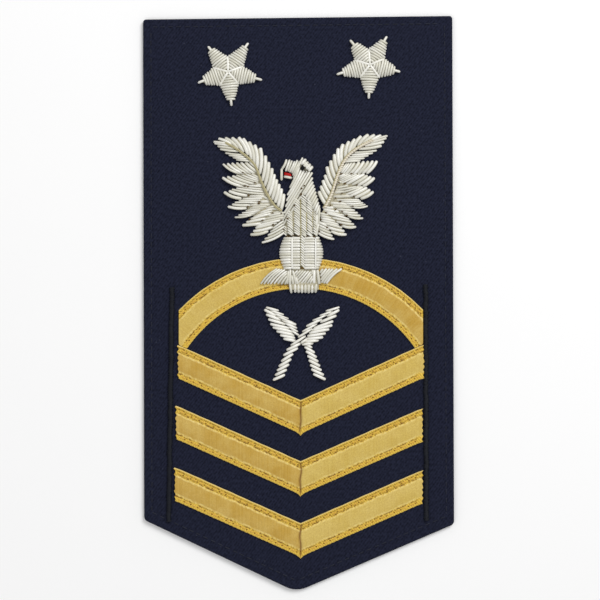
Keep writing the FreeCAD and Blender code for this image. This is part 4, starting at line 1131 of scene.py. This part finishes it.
def padWingRoot(rows, height):
    # Low stuffing under the feathers' roots: a sheet through the given crosswise lines, thin at its rim
    lines = np.array(rows, float)
    t = np.linspace(0, len(lines) - 1, 25)
    ends = np.stack([np.interp(t, np.arange(len(lines)), column) for column in lines.T], 1)[:, None]
    u = np.linspace(0, 1, 9)[None, :, None]
    rim = np.minimum(smoothStep(u[..., 0], 0.0, 0.3), smoothStep(1.0 - t / t[-1], -0.05, 0.2)[:, None])
    flat = between(ends[..., :2], ends[..., 2:], u)
    return softSlab(flat, laidBase + 0.1 + height * rim, laidBase)


def makeWing(name, wing):
    top = topOf(wing["node"])
    inner = layFans(wing["inner"], top - 0.4)
    tips = layFans(wing["tipFeathers"], top - 0.15, (0.3, 0.75))
    feathers = layFans(wing["feathers"], top, (0.3, 0.45))
    coverts = layFans(wing["coverts"], top, (0.3, 0.7), share=0.59, widest=0.68)
    pads = [*padFans(wing["coverts"], top), *padFans(wing["tipFeathers"], top - 0.15),
            *padFans(wing["feathers"], top), padWingRoot(wing["bed"], 0.55)]
    padding = addPiece(name + "Padding", pads, felt)
    strands = [*inner, *tips, *feathers, *coverts]
    addPiece(name + "Strands", strands, bullion, [wing["node"]])


for name in ("leftWing", "rightWing"):
    makeWing(name, wingShape[name])

ribShape = {
    # cords: radius, then how far their middle lies from the rib's line in X and Y, and below its top
    "leftCord": (0.21, 0.0, 0.0, 0.21),
    "leftBed": (0.22, -0.2, -0.22, 0.42),
    "rightRope": (0.42, 0.0, 0.0, 0.46),
    "rightThread": (0.12, -0.45, 0.2, 0.3),
    "ropeTurn": 1.7,
    "ropeBulge": 0.55,
}


def ribCord(line, key, *twist, **fineness):
    radius, dx, dy, below = ribShape[key]
    path = raised(np.array(wingShape[line]) + (dx, dy), topOf("left_wing_rib") - below)
    return ropeBody(path, radius, *twist, **fineness)


leftCords = [ribCord("leftRib", "leftCord"), ribCord("leftRib", "leftBed")]
addPiece("leftRibCord", leftCords, khakiCord, ["left_wing_rib"])
rope = ribCord("rightRib", "rightRope", ribShape["ropeTurn"], 2, ribShape["ropeBulge"], spacing=0.12)
addPiece("rightRibRope", [rope], ivoryCord, ["right_wing_rib"])
addPiece("rightRibThread", [ribCord("rightRib", "rightThread")], khakiThread)


def makeHoles(name, places, top):
    # Short dark stitches standing in for needle holes (painted shade), their tops level with the strands
    # beside them
    places = np.array(places)
    count, low = len(places), top - 0.45
    reach = np.stack([dice.uniform(0.2, 0.42, count), dice.uniform(-0.15, 0.15, count)], 1)
    stitches = strandBodies(places - reach, places + reach, 0.0, 0.24, low, top - 0.26, low, 6, -0.6)
    addPiece(name, [stitches], holeShadeThread)


makeHoles("wingNeedleHoles", wingShape["holes"], topOf("left_wing"))
print("wings made")


# Eagle: strands one by one where the real ones turn, rows of them where they repeat

eagleShape = {
    "beak": (
        single(-4.1, 48.4, -5.7, 45.1, 0.3), single(-5.7, 45.3, -5.7, 41.4), single(-4.9, 42.7, -2.2, 42.2),
    ),
    "face": (
        single(-3.0, 48.3, -4.3, 44.4), single(-2.2, 48.0, -3.5, 44.4), single(-1.3, 47.8, -2.9, 44.1),
        single(-0.4, 48.2, -2.2, 43.8), single(0.4, 47.9, -1.9, 43.0), single(1.4, 49.1, -1.7, 42.0),
    ),
    "crown": ((1.5, 47.3, 3.8, 44.4, 2.1, 47.5, 4.3, 44.8, 2, 0.1, 0.1),),
    "neck": (
        single(0.3, 45.8, -2.9, 38.8, 0.2),
        (0.95, 44.9, -3.7, 36.4, 4.6, 44.0, -5.2, 28.3, 5, 0.2, 0.1),
        single(4.7, 42.3, -5.3, 26.3, 0.1),
    ),
    "nape": (
        (4.8, 40.9, 1.8, 36.4, 7.0, 33.0, 6.0, 30.0, 8, 0.0, 0.0),
        (2.4, 48.4, 1.0, 46.7, 4.7, 46.1, 3.5, 44.6, 4, 0.0, 0.0),
    ),
    "flank": (single(7.0, 32.2, 6.7, 26.2), single(6.7, 27.0, 5.9, 22.5), single(6.3, 30.6, 6.0, 25.0)),
    # breast ropes: left X, right X, top Y
    "breastRopes": (
        (-5.0, -3.7, 26.4), (-3.75, -1.5, 31.2), (-1.5, 0.72, 35.4), (0.76, 2.66, 36.6), (2.7, 4.64, 35.0),
        (4.7, 6.2, 32.4),
    ),
    "breastFoot": 22.3,
    "breastPitch": 0.82,
    "breastStrand": 0.29,
    # couching threads in the furrows: X, top Y, foot Y
    "seams": ((-1.5, 31.0, 23.6), (0.76, 35.0, 12.4), (2.68, 30.4, 24.2), (4.67, 30.8, 25.0)),
    # dark stitches standing in for needle holes: painted shade
    "holes": (
        (0.7, 36.4), (0.9, 36.8), (-1.3, 32.8), (-3.8, 22.6), (-3.1, 22.4), (-1.8, 22.8), (-0.2, 22.6),
        (0.3, 22.7), (2.7, 22.5), (5.2, 22.4), (-5.0, 24.8), (-3.7, 28.5), (1.9, 39.5), (1.0, 38.6),
    ),
    "bellyTop": 21.9,
    "bellyFoot": 11.9,
    "bellyRows": 12,
    "bellyStrand": 0.49,
    # the outline's X at the top and foot, and how far it bulges at the middle
    "bellyLeft": (-5.0, -1.4),
    "bellyRight": (6.9, 1.3),
    # spans between the uprights: left X, right X
    "bellySpans": ((-2.15, 0.55), (1.95, 5.45)),
    "bellyEdges": (-2.5, 5.8),
    # the rope down the middle: left X, right X, how far each strand falls, pitch, radius
    "bellyRope": (0.7, 2.1, 0.75, 0.86, 0.3),
    # uprights: top X and Y, foot X and Y
    "uprights": ((-2.2, 22.3, -2.2, 11.6), (5.75, 22.1, 5.7, 11.4)),
    "perch": (
        single(-2.0, 11.2, -0.8, 6.5), single(-2.3, 9.6, -1.8, 6.5), single(-0.9, 8.8, -0.3, 6.6),
        (-0.2, 11.2, -1.4, 9.9, 3.5, 11.1, -0.1, 6.9, 5, 0.0, 0.0),
        (4.2, 10.8, 0.9, 6.7, 5.0, 8.6, 3.8, 6.6, 4, 0.0, 0.0),
        (5.3, 11.4, 5.2, 6.6, 6.3, 11.3, 7.0, 6.4, 2, 0.0, 0.0), single(4.8, 11.3, 4.4, 10.0),
        single(-2.8, 11.8, -2.9, 6.0),
    ),
    "perchBed": (-3.0, 4.6, 6.8, 11.5),
    # stuffing: the part whose height it follows, its middle, its outline
    "stuffing": (
        ("eagle_breast", (1.0, 28.0), (
            (-4.6, 23.2), (-4.8, 27.0), (-4.4, 31.0), (-3.0, 34.0), (1.0, 36.4), (4.6, 35.0), (6.4, 32.6),
            (6.6, 28.0), (5.7, 23.0), (1.0, 22.4))),
        ("eagle_head", (0.8, 36.5), (
            (-4.3, 32.4), (-3.3, 36.4), (-1.7, 40.8), (0.8, 42.4), (3.9, 42.2), (4.4, 40.0), (5.2, 36.6),
            (6.0, 33.4), (1.0, 31.5))),
        ("eagle_head", (0.8, 45.0), (
            (-1.2, 42.4), (-2.2, 44.4), (-2.4, 46.8), (0.8, 47.6), (3.4, 46.4), (3.9, 44.0), (3.4, 42.0),
            (1.0, 41.4))),
        ("eagle_belly", (1.2, 17.0), (
            (-4.6, 22.0), (-5.8, 17.0), (-4.7, 12.0), (1.2, 11.5), (6.6, 12.0), (7.5, 17.0), (6.4, 22.0),
            (1.2, 22.6))),
    ),
    "tail": (single(-2.9, 7.0, -2.4, 3.6), (-1.2, 7.2, -1.1, 3.6, 5.9, 7.2, 5.7, 3.6, 7, 0.0, 0.0)),
    "leftTalon": (
        (-7.2, 11.6, -12.7, 6.5, -4.5, 11.4, -9.4, 6.5, 4, -0.5, -0.4),
        (-3.9, 10.9, -8.2, 6.6, -3.3, 9.0, -4.6, 6.3, 4, -0.3, 0.0), single(-3.4, 11.2, -3.8, 6.6),
    ),
    "rightTalon": (
        (14.5, 11.6, 9.4, 6.7, 11.6, 11.6, 7.7, 6.9, 3, -0.5, -0.2),
        (10.5, 11.6, 7.5, 7.8, 8.2, 11.6, 7.2, 10.2, 3, -0.1, 0.0),
    ),
}


def breastHeight(x, y, top):
    # The breast is a cushion: it falls away to both sides and towards the neck
    return top - 0.35 - 0.055 * (x - 1.3) ** 2 - 0.4 * smoothStep(y, 26.0, 36.0)


def makeBreast(top):
    # Rope columns: strands that fall to the right across each column, one below the other
    shape = eagleShape
    parts = []
    for left, right, high in shape["breastRopes"]:
        y = np.arange(high - 0.9, shape["breastFoot"] + 0.2, -shape["breastPitch"])
        fall = 0.45 * (right - left)
        start = np.stack([np.full(len(y), left), y + fall], 1) + dice.uniform(-0.08, 0.08, (len(y), 2))
        end = np.stack([np.full(len(y), right), np.maximum(y - fall, shape["breastFoot"])], 1)
        end += dice.uniform(-0.08, 0.08, (len(y), 2))
        height = breastHeight((left + right) / 2, y, top)
        low = height - 0.35
        parts.append(strandBodies(start, end, 0.08, shape["breastStrand"], low, height + 0.02, low))
    return parts


def makeBreastSeams(top):
    # Couching threads in the furrows between the columns, the middle one going on beside the belly's rope
    parts = []
    for x, high, low in eagleShape["seams"]:
        y = np.linspace(high, low, 12)
        over = breastHeight(x, y, top) * smoothStep(y, 22.0, 23.0)
        over = over + (topOf("eagle_belly") - 0.5) * smoothStep(-y, -23.0, -22.0)
        path = np.stack([x + 0.06 * ripple(y, (5.0, 2.3), int(high * 10)), y, over - 0.02], 1)
        parts.append(ropeBody(path, 0.13, 0.8, 2, 0.3, sides=8))
    return parts


def makeBelly(top):
    # Crosswise rows, broken by two upright strands and a rope down the middle; the outline is a barrel
    shape = eagleShape
    t = np.linspace(0, 1, shape["bellyRows"])
    y = shape["bellyTop"] + (shape["bellyFoot"] - shape["bellyTop"]) * t
    left, right = (side + bulge * np.sin(np.pi * t)
                   for side, bulge in (shape["bellyLeft"], shape["bellyRight"]))
    low, high = clothTop + 0.35, top - 0.5
    leftSpan, rightSpan = shape["bellySpans"]
    leftEdge, rightEdge = shape["bellyEdges"]
    spans = (
        (left, leftEdge, low, high - 0.3), (*leftSpan, high - 0.25, high - 0.2),
        (*rightSpan, high - 0.2, high - 0.3), (rightEdge, right, high - 0.35, low),
    )
    parts = []
    for first, last, firstZ, lastZ in spans:
        start, end = (np.stack([np.broadcast_to(x, t.shape), y + dice.uniform(-0.08, 0.08, len(t))], 1)
                      for x in (first, last))
        middleZ = max(firstZ, lastZ) + 0.12
        parts.append(strandBodies(start, end, 0.0, shape["bellyStrand"], firstZ, middleZ, lastZ, flat=0.9))
    first, last, fall, pitch, radius = shape["bellyRope"]
    y = np.arange(shape["bellyTop"] + 0.2, shape["bellyFoot"] + 0.3, -pitch)
    start, end = np.stack([0 * y + first, y + fall], 1), np.stack([0 * y + last, y - fall], 1)
    parts.append(strandBodies(start, end, 0.05, radius, high - 0.1, high + 0.14, high - 0.1))
    ends, low = np.array(shape["uprights"]), high - 0.25
    parts.append(strandBodies(ends[:, :2], ends[:, 2:], 0.0, 0.34, low, high + 0.12, low, tone=1.0))
    return parts


def makeEagle():
    shape = eagleShape
    headTop, breastTop, bellyTop = topOf("eagle_head"), topOf("eagle_breast"), topOf("eagle_belly")
    head = layFans(shape["beak"], headTop - 0.45, (0.35, 0.35), 0.05)
    head += layFans(shape["face"], headTop, (0.35, 0.8), 0.05, 0.5, 0.39)
    head += layFans(shape["crown"], headTop + 0.05, (1.2, 1.2), 0.05, 0.5, 0.36)
    head += layFans(shape["neck"], headTop + 0.1, (1.2, 0.6), 0.1, 0.53, 0.42)
    head += layFans(shape["nape"], headTop + 0.1, (0.35, 1.3), 0.1)
    addPiece("headStrands", head, bullion, ["eagle_head"])
    makeHoles("bodyNeedleHoles", shape["holes"], breastTop - 0.15)
    breast = [*makeBreast(breastTop), *layFans(shape["flank"], breastTop - 0.9, (0.6, 0.6))]
    addPiece("breastStrands", breast, bullion, ["eagle_breast"])
    addPiece("breastSeams", makeBreastSeams(breastTop), khakiThread)
    addPiece("bellyStrands", makeBelly(bellyTop), bullion, ["eagle_belly"])
    for key, node in (("leftTalon", "eagle_left_talon"), ("rightTalon", "eagle_right_talon"),
                      ("perch", "eagle_perch"), ("tail", "eagle_tail")):
        low = footOf(node) - clothTop + 0.25
        strands = layFans(shape[key], topOf(node), (low, low), share=0.48)
        addPiece(key + "Strands", strands, bullion, [node])
    mounds = []
    for crown, centre, outline in shape["stuffing"]:
        edge = smoothPath(outline + outline[:1], 0.6)[0][:-1]
        mounds.append(mound(edge, topOf(crown) - 0.78, centre, 3.0, 10))
    left, foot, right, head = shape["perchBed"]
    x, y = np.meshgrid(np.linspace(left, right, 15), np.linspace(foot, head, 11), indexing="ij")
    across = np.minimum(smoothStep(x, left - 0.1, left + 1.0), smoothStep(-x, -right - 0.1, -right + 1.0))
    low = footOf("eagle_perch")
    bed = softSlab(np.stack([x, y], -1), low + 0.15 + across * (topOf("eagle_perch") - low - 0.8), low)
    talons = padFans([*shape["leftTalon"], *shape["rightTalon"]], topOf("eagle_left_talon"), base=low)
    padding = addPiece("eaglePadding", [*mounds, bed, *talons], felt)


makeEagle()
eyeLook = {
    "place": (1.35, 45.5),
    "size": 0.76,
    "stitch": 0.24,
    # stitches: start X and Y, end X and Y
    "tail": (1.7, 45.1, 2.7, 43.9),
    "tongue": ((-4.9, 43.95, -2.5, 43.35), (-4.9, 43.45, -2.4, 42.95)),
    "mouth": ((-5.1, 44.25, -3.9, 44.4), (-3.4, 44.05, -2.3, 43.75), (-2.35, 43.2, -1.85, 42.55)),
}


def makeEyeAndTongue():
    # The eye is one turned knot with a long tail, the tongue two red stitches with black ones at their ends
    headTop = topOf("eagle_head")
    x, y = eyeLook["place"]
    a = np.radians(np.linspace(-75, 75, 9))[:, None]
    ring = 2 * np.pi * np.arange(16) / 16
    radius = eyeLook["size"] * np.cos(a) * (1 + 0.12 * np.cos(4 * ring))
    flat = np.stack([x + radius * np.cos(ring), y + 1.1 * radius * np.sin(ring)], -1)
    poles = np.array([[x, y, headTop - 0.42]]), np.array([[x, y, headTop + 0.18]])
    eye = ringStack(raised(flat, headTop - 0.12 + 0.3 * np.sin(a))[None], *poles, a.T, 0.0)
    tail, mouth, tongue = (np.atleast_2d(eyeLook[key]) for key in ("tail", "mouth", "tongue"))
    low = headTop - 0.1
    tail = strandBodies(tail[:, :2], tail[:, 2:], 0.0, 0.13, low, headTop + 0.02, low, tone=0.0)
    addPiece("eyeKnot", [eye, tail], eyeThread, ["eagle_eye"])
    level, thick = topOf("eagle_tongue") - 0.1, eyeLook["stitch"]
    mouth = strandBodies(mouth[:, :2], mouth[:, 2:], 0.0, thick, level - 0.3, level, level - 0.3, tone=0.0)
    addPiece("mouthStitches", [mouth], eyeThread)
    level = topOf("eagle_tongue") - 0.25
    tongue = strandBodies(tongue[:, :2], tongue[:, 2:], 0.0, thick, level - 0.2, level + 0.25, level)
    addPiece("tongueStitches", [tongue], redThread, ["eagle_tongue"])


makeEyeAndTongue()
print("eagle made")


# Crossed quills

quillShape = {
    "leftQuill": (
        (-10.8, -1.4, -6.7, -2.5, -7.7, -4.1, -1.7, -6.6, 4, 0.0, 0.0),
        (-5.6, -5.5, -0.9, -7.2, -2.6, -8.9, 0.2, -10.8, 4, 0.0, 0.0),
        (-11.5, -2.1, -7.4, -4.3, -9.5, -6.9, -3.1, -8.4, 4, 0.0, 0.0),
        (-8.7, -8.0, -1.6, -9.7, -4.9, -11.9, -0.9, -12.7, 4, 0.0, 0.0),
    ),
    "leftStem": (
        single(2.6, -13.9, 4.5, -14.9),
        (2.0, -14.5, 5.4, -16.7, 4.9, -23.7, 9.0, -25.6, 7, 0.0, 0.0),
    ),
    "rightQuill": (
        (9.3, -2.6, 13.7, -1.3, 4.8, -5.8, 9.6, -3.8, 3, 0.0, 0.0),
        (2.6, -7.8, 7.9, -5.2, -0.2, -11.5, 4.6, -8.4, 3, 0.0, 0.0),
        (9.6, -4.3, 13.7, -2.2, 5.0, -8.5, 11.6, -6.0, 3, 0.0, 0.0),
        (4.3, -9.0, 11.2, -7.4, 2.3, -12.0, 8.2, -11.4, 4, 0.0, 0.0),
        (1.9, -12.9, 6.8, -12.4, 1.2, -13.8, 5.0, -13.4, 2, 0.0, 0.0),
        single(0.7, -13.4, 2.7, -12.1),
        single(-2.6, -14.2, 2.3, -11.0),
        (-3.9, -15.7, 0.5, -13.5, -5.1, -17.6, -0.2, -15.0, 2, 0.0, 0.0),
        (-5.8, -19.6, -1.9, -17.0, -8.6, -25.8, -4.6, -24.0, 5, 0.0, 0.0),
    ),
}
for name, key, node in (("leftQuillVane", "leftQuill", "left_quill_vane"),
                        ("leftQuillStem", "leftStem", "left_quill_stem"),
                        ("rightQuillStrands", "rightQuill", "right_quill")):
    # painted light: the quills' strands are all given the brightest tone
    strands = layFans(quillShape[key], topOf(node), share=0.64, widest=0.53, tone=1.0)
    addPiece(name, strands, bullion, [node])
print("quills made")


# Floor, light and camera

studio = {
    "floorSize": 1.6,
    "floorColour": (254, 254, 254),
    "floorGrain": (236, 236, 236),
    "cameraPlace": (0.000489, 0.001129, 0.5635),
    "lens": 100.0,
    # lamps: name, place, size, power
    "lamps": (("keyLight", (0.45, 0.6, 0.75), 0.55, 6.5), ("fillLight", (-0.5, -0.35, 0.8), 0.8, 1.5)),
    "skyStrength": 0.5,
}


def addLamp(name, place, size, power):  # a round lamp turned towards the patch
    light = bpy.data.lights.new(name, "AREA")
    light.shape = "DISK"
    light.size = size
    light.energy = power
    lamp = bpy.data.objects.new(name, light)
    lamp.location = place
    x, y, z = place
    lamp.rotation_euler = (math.atan2(math.hypot(x, y), z), 0, math.atan2(-y, -x) - math.pi / 2)
    bpy.context.scene.collection.objects.link(lamp)


def makeStudio():
    half = studio["floorSize"] / 2 / mm
    x, y = np.meshgrid(np.linspace(-half, half, 9), np.linspace(-half, half, 9), indexing="ij")
    material, tree, shader = newMaterial("paleFloor", 0.9)
    grain = patches(tree, placeInMm(tree), 40.0, 1.0)
    colour = layOver(tree, paint(*studio["floorColour"]), studio["floorGrain"], grain, 0.04)
    tree.links.new(colour, shader["Base Color"])
    slab = softSlab(np.stack([x, y], -1), -0.01, -4.0)
    mesh = bpy.data.meshes.new("studioFloor")
    mesh.from_pydata((slab["points"] * mm).tolist(), [], slab["quads"].tolist())
    mesh.materials.append(material)
    floor = bpy.data.objects.new("studioFloor", mesh)
    bpy.context.scene.collection.objects.link(floor)
    for lamp in studio["lamps"]:
        addLamp(*lamp)
    world = bpy.data.worlds.new("softRoom")
    world.use_nodes = True
    sky = world.node_tree.nodes["Background"].inputs
    sky["Color"].default_value = (1, 1, 1, 1)
    sky["Strength"].default_value = studio["skyStrength"]
    bpy.context.scene.world = world
    lens = bpy.data.cameras.new("photoCamera")
    lens.lens = studio["lens"]
    lens.sensor_width = 36.0
    lens.clip_start = 0.01
    camera = bpy.data.objects.new("photoCamera", lens)
    camera.location = studio["cameraPlace"]
    bpy.context.scene.collection.objects.link(camera)
    bpy.context.scene.camera = camera
    bpy.context.scene.view_settings.view_transform = "Standard"


makeStudio()
print("studio made")
